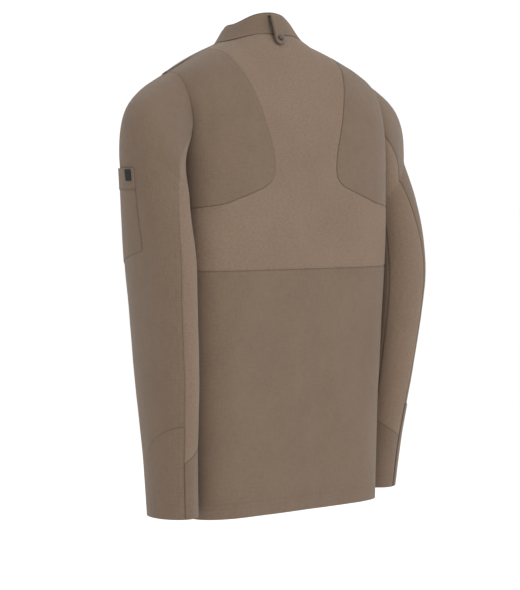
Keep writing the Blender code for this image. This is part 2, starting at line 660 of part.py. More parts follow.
def make_pocket():
    def spots(first, last, z_top, z_low, rows, cols, slant=0.0):
        made = []
        for r in range(rows + 1):
            row = []
            for k in range(cols + 1):
                low = z_low - slant * (1 - k / cols)
                row.append(at_height(first + (last - first) * k / cols, low + (z_top - low) * r / rows))
            made.append(row)
        return made

    def label_bulge(_, across):
        around = LABEL_FROM + (LABEL_TO - LABEL_FROM) * across
        return bulge_at((around - POCKET_FROM) / (POCKET_TO - POCKET_FROM))
    sleeve_panel("sleeve_pocket", "left",
                 spots(POCKET_FROM, POCKET_TO, POCKET_TOP_Z, POCKET_LOW_BACK_Z, 5, 6,
                       POCKET_LOW_BACK_Z - POCKET_LOW_FRONT_Z),
                 WOVEN_LOOK, lift=ON_TOP, thick=THIN_CLOTH, bulge=lambda up, across: bulge_at(across, up))
    sleeve_panel("pocket_mouth_band", "left",
                 spots(POCKET_FROM, POCKET_TO, POCKET_TOP_Z, POCKET_TOP_Z - MOUTH_DEEP, 1, 6), WOVEN_LOOK,
                 lift=0.0039, thick=0.0009, bulge=lambda up, across: bulge_at(across))
    sleeve_panel("sleeve_label", "left", spots(LABEL_FROM, LABEL_TO, LABEL_TOP_Z, LABEL_LOW_Z, 1, 2),
                 TAPE_LOOK, lift=0.0052, thick=0.0008, bulge=label_bulge)


# ---- hinges -------------------------------------------------------------------------------------------
def hinge(name, place_at, pieces, parent=None):
    """An empty on a joint's axis that carries the moving pieces, whose origins move to it."""
    pivot = bpy.data.objects.new(name, None)
    bpy.context.scene.collection.objects.link(pivot)
    pivot.parent = parent
    pivot.location = Vector(place_at) - (Vector(parent["at"]) if parent else Vector())
    pivot["at"] = place_at
    for piece in pieces:
        shape = bpy.data.objects[piece]
        shape.data.transform(Matrix.Translation(-Vector(place_at)))
        shape.parent = pivot
    return pivot


def make_hinges():
    out_x, _, top_z = SHOULDER_PIVOT
    for side, sign, snap, extra in (
            ("left", 1, "cap", ["sleeve_pocket", "pocket_mouth_band", "sleeve_label"]),
            ("right", -1, "stud", [])):
        shoulder = hinge(side + "_shoulder", (sign * out_x, 0.0, top_z),
                         [side + "_upper_sleeve", side + "_upper_mesh_strip"] + extra)
        forearm = ("forearm_sleeve", "forearm_mesh_strip", "cuff", "cuff_facing", "forearm_patch")
        hinge(side + "_elbow", ELBOW_PIVOT[side], [side + "_" + part for part in forearm], shoulder)
        snaps = ["front_snap_%s_%d" % (snap, k) for k in range(1, len(SNAP_Z) + 1)]
        hinge(side + "_front_edge", (sign * FRONT_PIVOT[0], *FRONT_PIVOT[1:]),
              [side + "_front_panel", side + "_placket"] + snaps)
    hinge("collar_tab_fold", tuple(TAB_TOP), ["collar_tab", "tab_snap_cap"])


make_back()
make_front()
make_snaps()
make_collar()
make_tab()
make_hanger_loop()
for which in ("left", "right"):
    make_sleeve(which)
make_pocket()
make_hinges()
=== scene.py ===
from functools import lru_cache
from math import acos, cos, degrees, pi, radians, sin

import bpy
import numpy as np
from mathutils import Matrix, Vector, noise


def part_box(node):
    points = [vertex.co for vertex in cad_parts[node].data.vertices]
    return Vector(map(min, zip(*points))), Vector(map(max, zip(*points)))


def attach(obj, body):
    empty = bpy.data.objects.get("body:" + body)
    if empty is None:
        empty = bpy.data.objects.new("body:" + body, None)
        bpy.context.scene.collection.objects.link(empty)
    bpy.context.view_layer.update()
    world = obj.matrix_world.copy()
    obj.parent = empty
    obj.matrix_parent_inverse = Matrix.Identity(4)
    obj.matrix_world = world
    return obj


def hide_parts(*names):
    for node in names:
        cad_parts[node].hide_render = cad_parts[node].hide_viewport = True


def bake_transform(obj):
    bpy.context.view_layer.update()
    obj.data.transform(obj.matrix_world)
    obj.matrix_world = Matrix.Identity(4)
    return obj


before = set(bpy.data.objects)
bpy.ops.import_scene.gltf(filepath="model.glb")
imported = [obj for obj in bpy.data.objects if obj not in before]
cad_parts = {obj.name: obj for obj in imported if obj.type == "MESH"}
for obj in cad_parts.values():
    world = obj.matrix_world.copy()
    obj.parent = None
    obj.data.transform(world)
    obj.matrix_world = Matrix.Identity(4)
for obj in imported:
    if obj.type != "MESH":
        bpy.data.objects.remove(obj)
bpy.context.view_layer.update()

# ---- Studio ---------------------------------------------------------------------------------------
# The jacket hangs in a white studio over a pale floor, seen from behind its left shoulder. A wide
# soft light stands above and behind it and a weaker one in front.
scene = bpy.context.scene
scene.view_settings.view_transform = "Standard"
camera_data = bpy.data.cameras.new("camera")
camera_data.lens = 115.0
camera = bpy.data.objects.new("camera", camera_data)
scene.collection.objects.link(camera)
camera.location = (3.0 * sin(radians(141)), -3.0 * cos(radians(141)), -0.246)
camera.rotation_euler = (radians(87), 0, radians(141))
scene.camera = camera

world = bpy.data.worlds.new("studio")
scene.world = world
world.use_nodes = True
world.node_tree.nodes["Background"].inputs["Color"].default_value = (1.0, 1.0, 1.0, 1.0)
world.node_tree.nodes["Background"].inputs["Strength"].default_value = 1.06

bpy.ops.object.select_all(action="DESELECT")
bpy.ops.mesh.primitive_plane_add(size=300, location=(0, 0, -1.30))
floor = bpy.context.object
floor.name = "floor"
paint = bpy.data.materials.new("pale_floor")
paint.use_nodes = True
paint.node_tree.nodes["Principled BSDF"].inputs["Base Color"].default_value = (0.95, 0.95, 0.95, 1)
paint.node_tree.nodes["Principled BSDF"].inputs["Roughness"].default_value = 0.9
floor.data.materials.append(paint)


def soft_light(name, place, size, power):
    lamp = bpy.data.lights.new(name, "AREA")
    lamp.size = size
    lamp.energy = power
    holder = bpy.data.objects.new(name, lamp)
    scene.collection.objects.link(holder)
    holder.location = place
    holder.rotation_euler = (Vector((0, 0, -0.35)) - Vector(place)).to_track_quat("-Z", "Y").to_euler()


soft_light("key_light", (-0.4, 4.2, 1.8), 2.4, 66)
soft_light("front_light", (-2.4, -3.4, 1.6), 3.0, 22)

# ---- Lower back panel -------------------------------------------------------------------------------
# Plain-woven poly-cotton in taupe, cut in one piece from side seam to side seam. It is sewn to the
# mesh band above and turned up into a hem below.
HEM_Z, BLADE_Z, UNDERARM_Z = -0.735, -0.205, -0.245
BAND_TOP_Z, BAND_BOTTOM_Z = -0.267, -0.358
NECK_HALF, NECK_BACK, NECK_FRONT, NECK_Z = 0.075, 0.043, 0.085, -0.004
TIP_X, SHOULDER_DROP, SHOULDER_BACK = 0.194, 0.055, 0.014
NECK_CROWN, NECK_DIP = 0.032, -0.030
SIDE_SEAM_BACK, SIDE_SEAM_FRONT = 80.0, 100.0
ARMHOLE_BEND = 1.3
HALF_WIDTH = ((HEM_Z, 0.181), (-0.60, 0.184), (-0.47, 0.189), (-0.33, 0.194), (BLADE_Z, 0.200))
BACK_DEPTH = ((HEM_Z, 0.104), (-0.47, 0.107), (-0.33, 0.112), (BLADE_Z, 0.114))
FRONT_DEPTH = ((HEM_Z, 0.112), (-0.47, 0.120), (-0.33, 0.124), (BLADE_Z, 0.118))
SPREAD = ((HEM_Z, 0.70), (-0.33, 0.75), (BLADE_Z, 0.30))
SPREAD_FROM = 0.03
BACK_SQUARE, FRONT_SQUARE = 5.0, 3.2

TAUPE = (0.146, 0.099, 0.066)
THREAD = (0.108, 0.073, 0.049)
CLOTH = 0.0011              # thickness of the cloth that shows
SEAM_DIP = 0.0011           # how deep a panel's edge lies in its seam
WEAVE = 0.0040              # spacing of the mesh that carries a panel


def smooth(points, at):
    """A smooth curve through (position, value) points, level past both ends."""
    points = sorted(points)
    if at <= points[0][0]:
        return points[0][1]
    if at >= points[-1][0]:
        return points[-1][1]
    i = max(k for k in range(len(points) - 1) if points[k][0] <= at)

    def slope(k):
        a, b = points[max(k - 1, 0)], points[min(k + 1, len(points) - 1)]
        return (b[1] - a[1]) / (b[0] - a[0])
    (x0, y0), (x1, y1) = points[i], points[i + 1]
    h = x1 - x0
    s = (at - x0) / h
    rise = (1 + 2 * s) * (1 - s) ** 2 * y0 + s * s * (3 - 2 * s) * y1
    return rise + h * (s * (1 - s) ** 2 * slope(i) - s * s * (1 - s) * slope(i + 1))


def mix(a, b, t):
    return tuple(p + (q - p) * t for p, q in zip(a, b))


def shoulder_top(x, front):
    """Height and depth of the shoulder seam at x. Inside the neck the surface closes over, smoothly."""
    out = (abs(x) - NECK_HALF) / (TIP_X - NECK_HALF)
    if out < 0:
        crown = 1 - (x / NECK_HALF) ** 2
        slope_on = 0.85 * SHOULDER_DROP * NECK_HALF / (TIP_X - NECK_HALF) / 2
        rest = (NECK_DIP if front else NECK_CROWN) - slope_on
        return NECK_Z + slope_on * crown + rest * crown ** 1.5, 0.0
    drop = SHOULDER_DROP * out * (0.85 + 0.15 * out)
    return NECK_Z - drop, SHOULDER_BACK * out * out * (3 - 2 * out)


def arch_power(x, front):
    out = min(1.0, abs(x) / 0.11)
    return 1.0 if front else 1.05 - 0.25 * out * out * (3 - 2 * out)


def section(angle, z):
    """The body's outline at height z: 0 is the centre back, 90 the wearer's left, 180 the centre front."""
    s, c = sin(radians(angle)), cos(radians(angle))
    front = c < 0
    n = FRONT_SQUARE if front else BACK_SQUARE
    wide, deep = smooth(HALF_WIDTH, z), smooth(FRONT_DEPTH if front else BACK_DEPTH, z)
    r = ((abs(s) / wide) ** n + (abs(c) / deep) ** n) ** (-1 / n)
    y = r * c
    return r * s * (1 + smooth(SPREAD, z) * (y - SPREAD_FROM)), y


def torso(angle, level):
    """A point of the body: level 0 is the hem, 1 the shoulder blades, 2 the shoulder seam."""
    z = HEM_Z + (BLADE_Z - HEM_Z) * min(level, 1.0)
    x, y = section(angle, z)
    if level <= 1:
        return Vector((x, y, z))
    front = cos(radians(angle)) < 0
    turn = min((level - 1) * 90.0, 90.0)
    top, seam_y = shoulder_top(x, front)
    p = arch_power(x, front)
    rise, run_in = sin(radians(turn)) ** p, max(cos(radians(turn)), 0.0) ** p
    return Vector((x, seam_y + (y - seam_y) * run_in, BLADE_Z + (top - BLADE_Z) * rise))


def level_at(z):
    return (z - HEM_Z) / (BLADE_Z - HEM_Z)


def angle_at(x, z, front=False):
    """The angle at which the outline at height z is x out, found by halving."""
    low, high = (100.0, 180.0) if front else (0.0, 66.0)
    z = min(z, BLADE_Z)
    for _ in range(40):
        middle = (low + high) / 2
        if (section(middle, z)[0] > x) == front:
            low = middle
        else:
            high = middle
    return (low + high) / 2


def place(x, z, front=False):
    """The body coordinates of the point x out and z up."""
    angle = angle_at(x, z, front)
    if z <= BLADE_Z:
        return angle, level_at(z)
    top, _ = shoulder_top(x, front)
    share = min(max((z - BLADE_Z) / (top - BLADE_Z), 0.0), 1.0)
    return angle, 1 + (90.0 - degrees(acos(share ** (1 / arch_power(x, front))))) / 90.0


def neck_edge(turn):
    """The body coordinates of the neck seam: turn 0 is the centre back, 180 the centre front."""
    front = turn > 90
    x = NECK_HALF * sin(radians(turn))
    y = (NECK_FRONT if front else NECK_BACK) * cos(radians(turn))
    angle = angle_at(x, BLADE_Z, front)
    reach = min(abs(y / section(angle, BLADE_Z)[1]), 1.0)
    return angle, 1 + degrees(acos(reach ** (1 / arch_power(x, front)))) / 90.0


TIP_BACK, TIP_FRONT = angle_at(TIP_X, BLADE_Z), angle_at(TIP_X, BLADE_Z, True)


def armhole(share, front=False):
    """The body coordinates of the armhole: share 0 on the shoulder, 1 under the arm."""
    tip = TIP_FRONT if front else TIP_BACK
    straight = 0.45
    if share <= straight:
        return tip, 2 - (2 - ARMHOLE_BEND) * share / straight
    turn = radians(90.0 * (share - straight) / (1 - straight))
    return 90 - (90 - tip) * cos(turn), ARMHOLE_BEND - (ARMHOLE_BEND - level_at(UNDERARM_Z)) * sin(turn)


def armhole_share(angle, front=False):
    """Where the armhole crosses a side seam."""
    tip = TIP_FRONT if front else TIP_BACK
    return 0.45 + 0.55 * degrees(acos((90 - angle) / (90 - tip))) / 90.0


def through(points):
    """A smooth line through points, as a function of a share from 0 to 1."""
    last = len(points) - 1

    def line(share):
        spot = min(max(share, 0.0), 1.0) * last
        k = min(int(spot), last - 1)
        f = spot - k
        p = [points[min(max(k + j, 0), last)] for j in (-1, 0, 1, 2)]
        return tuple(0.5 * (2 * b + (c - a) * f + (2 * a - 5 * b + 4 * c - d) * f * f
                            + (3 * b - a - 3 * c + d) * f ** 3) for a, b, c, d in zip(*p))
    return line


def inside(low, high, left, right):
    """Coordinates inside four lines: low and high run across, left and right run up."""
    low, high, left, right = (lru_cache(None)(line) for line in (low, high, left, right))

    def spot(s, t):
        edge = [(1 - t) * a + t * b + (1 - s) * c + s * d
                for a, b, c, d in zip(low(s), high(s), left(t), right(t))]
        corners = [(1 - s) * (1 - t) * a + s * (1 - t) * b + (1 - s) * t * c + s * t * d
                   for a, b, c, d in zip(low(0), low(1), high(0), high(1))]
        return tuple(e - k for e, k in zip(edge, corners))
    return spot


def shares(length):
    """Shares along a panel's side: evenly spaced, and closer together beside both seams."""
    count = max(3, round(length / WEAVE))
    near = [0.0, 0.0010 / length, 0.0024 / length]
    return near + [k / count for k in range(1, count)] + [1 - k for k in near[::-1]]


# soft folds in the cloth: both ends, how wide, how high
BODY_FOLDS = [
    ((0.168, 0.085, -0.085), (0.176, 0.098, -0.190), 0.006, -0.0030),
    ((0.180, 0.080, -0.090), (0.187, 0.086, -0.180), 0.007, 0.0026),
    ((0.060, 0.075, -0.062), (0.150, 0.070, -0.110), 0.016, -0.0012),
    ((0.050, 0.090, -0.100), (0.140, 0.095, -0.118), 0.013, 0.0010),
    ((0.045, 0.108, -0.400), (0.060, 0.104, -0.640), 0.022, -0.0016),
    ((0.135, 0.100, -0.420), (0.128, 0.096, -0.640), 0.020, 0.0016),
    ((-0.060, 0.108, -0.420), (-0.085, 0.104, -0.660), 0.024, 0.0015),
    ((-0.145, 0.095, -0.380), (-0.120, 0.096, -0.560), 0.018, -0.0015),
    ((-0.030, 0.112, -0.225), (-0.028, 0.110, -0.345), 0.014, -0.0010),
    ((0.020, 0.112, -0.240), (0.016, 0.110, -0.350), 0.014, 0.0008),
    ((-0.150, 0.090, -0.150), (-0.105, 0.105, -0.200), 0.014, -0.0012),
    ((0.120, -0.090, -0.160), (0.070, -0.110, -0.300), 0.020, 0.0016),
    ((-0.120, -0.090, -0.160), (-0.070, -0.110, -0.300), 0.020, 0.0016),
    ((0.150, -0.070, -0.260), (0.110, -0.095, -0.360), 0.015, -0.0018),
    ((-0.150, -0.070, -0.260), (-0.110, -0.095, -0.360), 0.015, -0.0018),
]


def fold_height(points, folds):
    """How far the folds raise each point of an array."""
    raised = np.zeros(points.shape[:-1])
    for a, b, wide, high in folds:
        a, b = np.array(a), np.array(b)
        share = np.clip((points - a) @ (b - a) / ((b - a) @ (b - a)), 0, 1)
        gap = np.linalg.norm(points - a - share[..., None] * (b - a), axis=-1)
        ends = np.sin(np.pi * np.clip(share, 0.02, 0.98)) ** 0.6
        raised += high * np.exp(-(gap / wide) ** 2) * ends
    return raised


def drape(points, coarse, fine):
    """Slow and quick unevenness of hanging cloth at each point; it runs mostly down the cloth."""
    flat = points.reshape(-1, 3)
    raised = [coarse * noise.noise(Vector((p[0] * 17, p[1] * 17, p[2] * 5)))
              + fine * noise.noise(Vector((p[0] * 52, p[1] * 52, p[2] * 22))) for p in flat]
    return np.array(raised).reshape(points.shape[:-1])


def cloth(name, at, wide, high, finish, core, sewn="lrbt", stitched="lrbt", lift=0.0, thick=CLOTH,
          folds=BODY_FOLDS, unevenness=(0.0016, 0.0004), mirrored=False, closed=False, relief=None,
          calm=False, hem=None, grain=None):
    """A panel of cloth: at(s, t) is a point of its face, core(point) a point inside the garment.
    sewn names the edges that lie in a seam, stitched those with a row of topstitching beside them,
    hem is the height of its hem's stitches, a calm panel has no folds beside its top edge, and
    grain(s, t) gives the place in the weave if it doesn't follow the panel's own middle lines."""
    across = [k / round(wide / WEAVE) for k in range(round(wide / WEAVE))] if closed else shares(wide)
    up = shares(high)
    face = np.array([[at(s, t) for s in across] for t in up], float)
    if mirrored:
        face[..., 0] *= -1
    if closed:
        face = np.concatenate([face, face[:, :1]], axis=1)
    way = np.cross(np.gradient(face, axis=1), np.gradient(face, axis=0))
    if closed:
        ends = (way[:, 0] + way[:, -1]) / 2
        way[:, 0] = way[:, -1] = ends
    way /= np.linalg.norm(way, axis=-1, keepdims=True) + 1e-12
    middle = face[len(up) // 2, face.shape[1] // 2]
    outwards = way[len(up) // 2, face.shape[1] // 2] @ (middle - np.array(core(middle)))
    way *= 1 if outwards > 0 else -1
    gap_u = np.linalg.norm(np.diff(face, axis=1), axis=-1)
    gap_v = np.linalg.norm(np.diff(face, axis=0), axis=-1)
    u = np.concatenate([np.zeros((len(up), 1)), np.cumsum(gap_u, axis=1)], axis=1)
    v = np.concatenate([np.zeros((1, face.shape[1])), np.cumsum(gap_v, axis=0)], axis=0)
    edges = {"l": u, "r": u[:, -1:] - u, "b": v, "t": v[-1:] - v}
    raised = fold_height(face, folds) + drape(face, *unevenness)
    if calm:
        raised = raised * np.clip(edges["t"] / 0.03, 0, 1)
    raised = raised + lift
    if relief:
        raised = raised + np.array([[relief(s, t) for s in (across + [1.0] if closed else across)]
                                    for t in up])
    for side in sewn:
        raised = raised - SEAM_DIP * np.clip(1 - edges[side] / 0.0030, 0, 1) ** 2
    outer = face + way * raised[..., None]
    inner = outer - way * thick
    rows, columns = u.shape
    if closed:
        columns -= 1
    total = rows * columns
    points = np.concatenate([outer[:, :columns].reshape(-1, 3), inner[:, :columns].reshape(-1, 3)])

    def spot(r, c, layer=0):
        return layer * total + r * columns + c % columns
    cells = [(r, c) for r in range(rows - 1) for c in range(columns if closed else columns - 1)]
    faces, corners = [], []
    for layer in (0, 1):
        for r, c in cells:
            ring = [(r, c), (r, c + 1), (r + 1, c + 1), (r + 1, c)]
            ring = ring[::-1] if layer else ring
            faces.append([spot(*p, layer) for p in ring])
            corners += ring
    rim = [((0, c + 1), (0, c)) for c in range(columns if closed else columns - 1)]
    rim += [((rows - 1, c), (rows - 1, c + 1)) for c in range(columns if closed else columns - 1)]
    if not closed:
        rim += [((r, 0), (r + 1, 0)) for r in range(rows - 1)]
        rim += [((r + 1, columns - 1), (r, columns - 1)) for r in range(rows - 1)]
    for a, b in rim:
        faces.append([spot(*a), spot(*b), spot(*b, 1), spot(*a, 1)])
        corners += [a, b, b, a]
    turned = np.cross(outer[0, 1] - outer[0, 0], outer[1, 0] - outer[0, 0]) @ way[0, 0] < 0
    if turned:
        faces = [ring[::-1] for ring in faces]
        corners = [corner for k in range(0, len(corners), 4) for corner in corners[k:k + 4][::-1]]
    mesh = bpy.data.meshes.new(name)
    mesh.from_pydata(points.tolist(), [], faces)
    near_u = np.minimum(u if "l" in stitched else u + 1, edges["r"] if "r" in stitched else u + 1)
    near_v = np.minimum(v if "b" in stitched else v + 1, edges["t"] if "t" in stitched else v + 1)
    rows_of, columns_of = np.array(corners).T
    centre = u.shape[1] // 2
    weave = (u - u[:, centre:centre + 1], np.broadcast_to(v[:, centre:centre + 1], v.shape))
    if grain:
        weave = np.moveaxis(np.array([[grain(s, t) for s in across] for t in up]), -1, 0)
    turned_up = (v - hem if hem else v * 0 + 1, v * 0)
    for title, pair in (("cloth", weave), ("seams", (near_u, near_v)), ("hem", turned_up)):
        layer = mesh.uv_layers.new(name=title)
        both = np.stack([grid[rows_of, columns_of] for grid in pair], axis=1)
        layer.data.foreach_set("uv", both.astype(np.float32).ravel())
    mesh.materials.append(finish)
    mesh.shade_smooth()
    mesh.set_sharp_from_angle(angle=radians(50))
    piece = bpy.data.objects.new(name, mesh)
    scene.collection.objects.link(piece)
    return piece


def torso_core(point):
    return 0.0, 0.0, point[2] - 0.06 if point[2] > -0.25 else point[2]


def lengths_along(points):
    """The distance from the first point to each one of a line of points."""
    steps = np.linalg.norm(np.diff(np.array(points, float), axis=0), axis=1)
    return np.concatenate([[0.0], np.cumsum(steps)])


TURNS, LEVELS = np.arange(-100.0, 281.0, 1.0), np.arange(0.0, 2.01, 0.02)
ROUND_BODY = lengths_along([section(turn, -0.33) for turn in TURNS])
UP_BODY = lengths_along([torso(20.0, level) for level in LEVELS])


def torso_panel(name, spot, wide, high, finish, **facts):
    """A panel of the body; its threads run level round it and straight up it."""
    def grain(s, t):
        angle, level = spot(s, t)
        return np.interp(angle, TURNS, ROUND_BODY), np.interp(level, LEVELS, UP_BODY)
    return cloth(name, lambda s, t: torso(*spot(s, t)), wide, high, finish, torso_core, grain=grain,
                 **facts)


def node(tree, kind, **values):
    """A shader node; a value names an input, an attribute or, for a link, gives an output socket."""
    made = tree.nodes.new(kind)
    for key, value in values.items():
        if hasattr(made, key):
            setattr(made, key, value)
            continue
        socket = made.inputs[int(key[1:]) if key[0] == "i" and key[1:].isdigit() else key]
        if isinstance(value, bpy.types.NodeSocket):
            tree.links.new(value, socket)
        else:
            socket.default_value = value
    return made


def sum_of(tree, operation, a, b=0.0, c=0.0):
    return node(tree, "ShaderNodeMath", operation=operation, i0=a, i1=b, i2=c).outputs[0]


def new_group(name, inputs, outputs):
    """An empty node group with float, colour (_colour) or vector (_vector) sockets."""
    group = bpy.data.node_groups.new(name, "ShaderNodeTree")
    for way, titles in (("INPUT", inputs), ("OUTPUT", outputs)):
        for title in titles:
            kind = {"colour": "NodeSocketColor", "vector": "NodeSocketVector"}.get(
                title.split("_")[-1], "NodeSocketFloat")
            group.interface.new_socket(title, in_out=way, socket_type=kind)
    return group, group.nodes.new("NodeGroupInput").outputs, group.nodes.new("NodeGroupOutput").inputs


def topstitch_group():
    """Thread height, thread mask and seam shadow from the distances to a panel's edges."""
    group, given, out = new_group("topstitching", ["Seams_vector", "Cloth_vector", "Hem_vector"],
                                  ["Thread", "Shadow", "Pucker"])
    near = node(group, "ShaderNodeSeparateXYZ", Vector=given["Seams_vector"]).outputs
    run = node(group, "ShaderNodeSeparateXYZ", Vector=given["Cloth_vector"]).outputs
    rows, shadows, puckers = [], [], []
    from_hem = node(group, "ShaderNodeSeparateXYZ", Vector=given["Hem_vector"]).outputs[0]
    hem_gap = sum_of(group, "ADD", sum_of(group, "ABSOLUTE", from_hem), 0.0013)
    for gap, along in ((near[0], run[1]), (near[1], run[0]), (hem_gap, run[0])):
        dash = sum_of(group, "SINE", sum_of(group, "MULTIPLY", along, 2 * pi / 0.0030))
        dash = node(group, "ShaderNodeMapRange", Value=dash, i1=-0.6, i2=0.1).outputs[0]
        for row in (0.0022, 0.0085):
            off = sum_of(group, "ABSOLUTE", sum_of(group, "SUBTRACT", gap, row))
            line = node(group, "ShaderNodeMapRange", Value=off, i1=0.0005, i2=0.0001).outputs[0]
            rows.append(sum_of(group, "MULTIPLY", line, dash))
        shadows.append(node(group, "ShaderNodeMapRange", Value=gap, i1=0.0017, i2=0.0004).outputs[0])
        ripple = node(group, "ShaderNodeCombineXYZ", X=sum_of(group, "MULTIPLY", along, 130.0),
                      Y=sum_of(group, "MULTIPLY", gap, 35.0))
        wave = node(group, "ShaderNodeTexNoise", Vector=ripple.outputs[0], Scale=1.0, Detail=1.0).outputs[0]
        fade = node(group, "ShaderNodeMapRange", Value=gap, i1=0.022, i2=0.002).outputs[0]
        puckers.append(sum_of(group, "MULTIPLY", sum_of(group, "SUBTRACT", wave, 0.5), fade))
    thread = rows[0]
    for row in rows[1:]:
        thread = sum_of(group, "MAXIMUM", thread, row)
    group.links.new(thread, out["Thread"])
    # Painted shade: the colour darkens beside the sewn edges, and a thin painted shadow line runs along the
    # hem's stitch row.
    seams = sum_of(group, "MAXIMUM", *shadows[:2])
    hem_row_shadow = sum_of(group, "MULTIPLY", shadows[2], 0.8)
    group.links.new(sum_of(group, "MAXIMUM", seams, hem_row_shadow), out["Shadow"])
    group.links.new(sum_of(group, "ADD", sum_of(group, "ADD", *puckers[:2]), puckers[2]), out["Pucker"])
    return group


def plain_weave_group():
    """Warp and weft of a plain weave with slubs: brightness around 1 and height around 0."""
    group, given, out = new_group("plain_weave", ["Cloth_vector"], ["Shade", "Height"])
    run = node(group, "ShaderNodeSeparateXYZ", Vector=given["Cloth_vector"]).outputs
    waves = [sum_of(group, "SINE", sum_of(group, "MULTIPLY", run[k], 2 * pi / 0.00110)) for k in (0, 1)]
    threads = sum_of(group, "MULTIPLY", *waves)
    slubs = []
    for stretch in ((900, 60), (60, 900)):
        long_way = node(group, "ShaderNodeCombineXYZ", X=sum_of(group, "MULTIPLY", run[0], stretch[0]),
                        Y=sum_of(group, "MULTIPLY", run[1], stretch[1]))
        slubs.append(node(group, "ShaderNodeTexNoise", Vector=long_way.outputs[0], Scale=1.0,
                          Detail=2.0).outputs[0])
    slub = sum_of(group, "SUBTRACT", sum_of(group, "ADD", *slubs), 1.0)
    broad = node(group, "ShaderNodeTexNoise", Vector=given["Cloth_vector"], Scale=14.0, Detail=3.0)
    patch = sum_of(group, "SUBTRACT", broad.outputs[0], 0.5)
    speck = node(group, "ShaderNodeTexNoise", Vector=given["Cloth_vector"], Scale=230.0, Detail=2.0)
    speck = sum_of(group, "SUBTRACT", speck.outputs[0], 0.5)
    shade = sum_of(group, "MULTIPLY_ADD", threads, 0.030, 1.0)
    shade = sum_of(group, "MULTIPLY_ADD", slub, 0.34, shade)
    shade = sum_of(group, "MULTIPLY_ADD", speck, 0.14, shade)
    shade = sum_of(group, "MULTIPLY_ADD", patch, 0.20, shade)
    group.links.new(shade, out["Shade"])
    group.links.new(sum_of(group, "MULTIPLY_ADD", slub, 1.4, threads), out["Height"])
    return group


def cloth_material(name, pattern, colour, thread, roughness, relief, sheen):
    """Cloth of one colour with its pattern, seam shadows and topstitching in thread of its own."""
    made = bpy.data.materials.new(name)
    made.use_nodes = True
    tree = made.node_tree
    shader = tree.nodes["Principled BSDF"]
    shader.inputs["Sheen Weight"].default_value = sheen
    shader.inputs["Sheen Roughness"].default_value = 0.6
    shader.inputs["Specular IOR Level"].default_value = 0.25
    uv = {title: node(tree, "ShaderNodeUVMap", uv_map=title).outputs[0]
          for title in ("cloth", "seams", "hem")}
    face = node(tree, "ShaderNodeGroup", node_tree=pattern, Cloth_vector=uv["cloth"]).outputs
    sewing = node(tree, "ShaderNodeGroup", node_tree=stitching, Cloth_vector=uv["cloth"],
                  Seams_vector=uv["seams"], Hem_vector=uv["hem"]).outputs
    # The painted seam and hem-row shadow darkens the cloth's colour by up to a third.
    shade = sum_of(tree, "MULTIPLY", face["Shade"],
                   sum_of(tree, "MULTIPLY_ADD", sewing["Shadow"], -0.34, 1.0))
    base = node(tree, "ShaderNodeVectorMath", operation="SCALE", i0=colour, Scale=shade).outputs[0]
    seamed = node(tree, "ShaderNodeMix", data_type="RGBA", i0=sum_of(tree, "MULTIPLY", sewing["Thread"], 0.7),
                  i6=base, i7=(*thread, 1.0)).outputs[2]
    tree.links.new(seamed, shader.inputs["Base Color"])
    rough = sum_of(tree, "MULTIPLY_ADD", face["Height"], 0.03, roughness)
    tree.links.new(rough, shader.inputs["Roughness"])
    height = sum_of(tree, "MULTIPLY_ADD", sewing["Thread"], 2.2, face["Height"])
    height = sum_of(tree, "MULTIPLY_ADD", sewing["Pucker"], 9.0, height)
    bump = node(tree, "ShaderNodeBump", Strength=relief, Distance=0.00012, Height=height)
    tree.links.new(bump.outputs[0], shader.inputs["Normal"])
    return made


stitching = topstitch_group()
plain_weave = plain_weave_group()
woven = cloth_material("taupe_poly_cotton", plain_weave, TAUPE, THREAD, 0.84, 0.75, 0.12)


def both_sides(half):
    """A line from the centre back outwards, joined to its mirror image."""
    def line(s):
        angle, level = half(abs(2 * s - 1))
        return (angle if s >= 0.5 else -angle), level
    return line


def hung(piece, flat, area, *nodes, body="jacket"):
    """The piece is a hanging sheet that stands for its CAD nodes, which are hidden; flat and area are not
    used.
    """
    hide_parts(*nodes)
    if body:
        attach(piece, body)
    return piece


HEM_DEEP = 0.023
band_side_low = (SIDE_SEAM_BACK, level_at(BAND_BOTTOM_Z))
lower_side = through([(SIDE_SEAM_BACK, 0.0), band_side_low])
lower_back = torso_panel(
    "lower_back", inside(both_sides(through([(0.0, 0.0), (SIDE_SEAM_BACK, 0.0)])),
                         both_sides(through([(0.0, band_side_low[1]), band_side_low])),
                         lambda t: (-lower_side(t)[0], lower_side(t)[1]), lower_side),
    0.46, 0.377, woven, sewn="lrt", stitched="lrt", hem=HEM_DEEP)
hung(lower_back, (0.47, 0.40), 0.172, "lower_back_panel")

# ---- Mesh back insert -----------------------------------------------------------------------------
# A fine open knit, a shade lighter than the cloth, cut as an hourglass between the shoulder blades
# that widens into a band across the back. Its edges are turned under the cloth and topstitched.
KNIT = (0.184, 0.126, 0.086)


